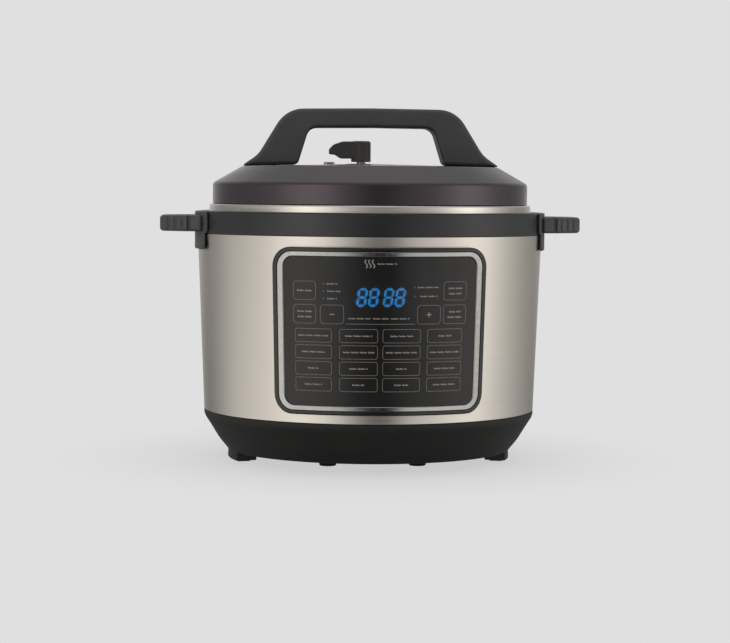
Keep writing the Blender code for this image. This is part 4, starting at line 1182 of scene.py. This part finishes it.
def studio_world():
    """A grey backdrop for the camera and the studio's light for everything else."""
    world = bpy.data.worlds.new("studio")
    bpy.context.scene.world = world
    world.use_nodes = True
    tree = world.node_tree
    tree.nodes.clear()

    def node(kind, *sources, **settings):
        return add_node(tree, kind, *sources, **settings)

    def level(angle, stops, half_turn, tint=(1.0, 1.0, 1.0)):
        """A brightness ramp over an angle in radians, its stops in degrees.

        The brighter a stop, the more of the tint it takes."""
        share = node("ShaderNodeMapRange", angle, -math.radians(half_turn),
                     math.radians(half_turn), 0.0, 1.0)
        ramp = tree.nodes.new("ShaderNodeValToRGB")
        tree.links.new(share, ramp.inputs["Fac"])
        elements = ramp.color_ramp.elements
        while len(elements) < len(stops):
            elements.new(0.5)
        for element, (degrees, value) in zip(elements, stops):
            element.position = (degrees + half_turn) / (2.0 * half_turn)
            share = value / BRIGHTEST
            element.color = (*(share * (1.0 + (t - 1.0) * share) for t in tint), 1.0)
        return ramp.outputs["Color"]

    coordinates = tree.nodes.new("ShaderNodeTexCoord")
    parts = tree.nodes.new("ShaderNodeSeparateXYZ")
    tree.links.new(coordinates.outputs["Generated"], parts.inputs["Vector"])
    ahead = node("ShaderNodeMath", parts.outputs["Y"], -1.0, operation="MULTIPLY")
    compass = node("ShaderNodeMath", parts.outputs["X"], ahead, operation="ARCTAN2")
    elevation = node("ShaderNodeMath", parts.outputs["Z"], operation="ARCSINE")

    def share(stops):
        ramp = level(elevation, stops, 90.0)
        return node("ShaderNodeMath", ramp, BRIGHTEST, operation="MULTIPLY")

    rings = node("ShaderNodeMixRGB", share(EYE_LEVEL_SHARE),
                 level(compass, BELOW_EYE_LEVEL, 180.0, SOFT_BOX_TINT),
                 level(compass, AT_EYE_LEVEL, 180.0, SOFT_BOX_TINT))
    mixed = node("ShaderNodeMixRGB", share(RINGS_SHARE), level(elevation, BY_ELEVATION, 90.0),
                 rings)
    light = node("ShaderNodeBackground", mixed, BRIGHTEST)
    backdrop = node("ShaderNodeBackground", BACKGROUND, 1.0)
    path = tree.nodes.new("ShaderNodeLightPath")
    surface = node("ShaderNodeMixShader", path.outputs["Is Camera Ray"], light, backdrop)
    tree.links.new(surface, tree.nodes.new("ShaderNodeOutputWorld").inputs["Surface"])


def floor():
    """A plain floor the colour of the backdrop, with a faint shade under the object: partly painted
    shade from a fixed radial fade about the origin, partly the real shadow on its lit share.

    Mirror rays pass through it, so the steel shows the surround alone."""
    bm = bmesh.new()
    bmesh.ops.create_grid(bm, x_segments=8, y_segments=8, size=FLOOR_HALF)
    mesh = bpy.data.meshes.new("studio_floor")
    bm.to_mesh(mesh)
    bm.free()
    made = bpy.data.objects.new("studio_floor", mesh)
    made.location = (0.0, 0.0, -FLOOR_DROP)
    bpy.context.collection.objects.link(made)
    look = bpy.data.materials.new("studio_floor")
    look.use_nodes = True
    tree = look.node_tree
    tree.nodes.clear()
    path = tree.nodes.new("ShaderNodeLightPath").outputs
    away = tree.nodes.new("ShaderNodeVectorMath")
    away.operation = "LENGTH"
    tree.links.new(add_node(tree, "ShaderNodeNewGeometry"), away.inputs[0])
    # Painted shade: a fixed radial fade about the origin mixes the lit diffuse share into the
    # floor's even glow, so the floor darkens in a disc round the origin; within it the real shadow
    # shows too.
    fade = add_node(tree, "ShaderNodeMapRange", away.outputs["Value"], SHADOW_FULL, SHADOW_END,
                    GLOW_IN_SHADOW, 1.0, interpolation_type="SMOOTHSTEP")
    share = add_node(tree, "ShaderNodeMath", fade, path["Is Camera Ray"], operation="MULTIPLY")
    seen = add_node(tree, "ShaderNodeMixShader", share,
                    add_node(tree, "ShaderNodeBsdfDiffuse", LIT_FLOOR),
                    add_node(tree, "ShaderNodeEmission", BACKGROUND))
    mirrored = add_node(tree, "ShaderNodeMixShader", path["Is Glossy Ray"], seen,
                        add_node(tree, "ShaderNodeBsdfTransparent"))
    output = tree.nodes.new("ShaderNodeOutputMaterial")
    tree.links.new(mirrored, output.inputs["Surface"])
    mesh.materials.append(look)


def studio():
    bpy.context.scene.view_settings.view_transform = "Standard"
    studio_world()
    floor()


CAMERA_DISTANCE, CAMERA_HEIGHT, CAMERA_SIDE = 2.06, 0.257, math.radians(-3.9)
CAMERA_PITCH, CAMERA_AIM, CAMERA_ROLL = map(math.radians, (-3.5, 0.107, 0.4))
SENSOR, LENS = 36.0, 105.8


def camera():
    data = bpy.data.cameras.new("camera")
    data.sensor_width = SENSOR
    data.lens = LENS
    made = bpy.data.objects.new("camera", data)
    made.location = AXIS + Vector((CAMERA_DISTANCE * math.sin(CAMERA_SIDE),
                                   -CAMERA_DISTANCE * math.cos(CAMERA_SIDE), CAMERA_HEIGHT))
    turn = Matrix.Rotation(CAMERA_SIDE + CAMERA_AIM, 4, "Z")
    tilt = Matrix.Rotation(math.radians(90.0) + CAMERA_PITCH, 4, "X")
    roll = Matrix.Rotation(CAMERA_ROLL, 4, "Z")
    made.rotation_euler = (turn @ tilt @ roll).to_euler()
    bpy.context.collection.objects.link(made)
    bpy.context.scene.camera = made


camera()
studio()
shell()
base()
bottom()
collar()
side_handle("side_handle_right", 0.0)
side_handle("side_handle_left", 180.0)
cup()
inlet()
panel_body()
panel_print()
display()
pot()
seal()
liner()
heater()
sensor_coil()
lid_steel()
lid_cover()
lid_handle()
under_lid()
valve()
keep_nodes()
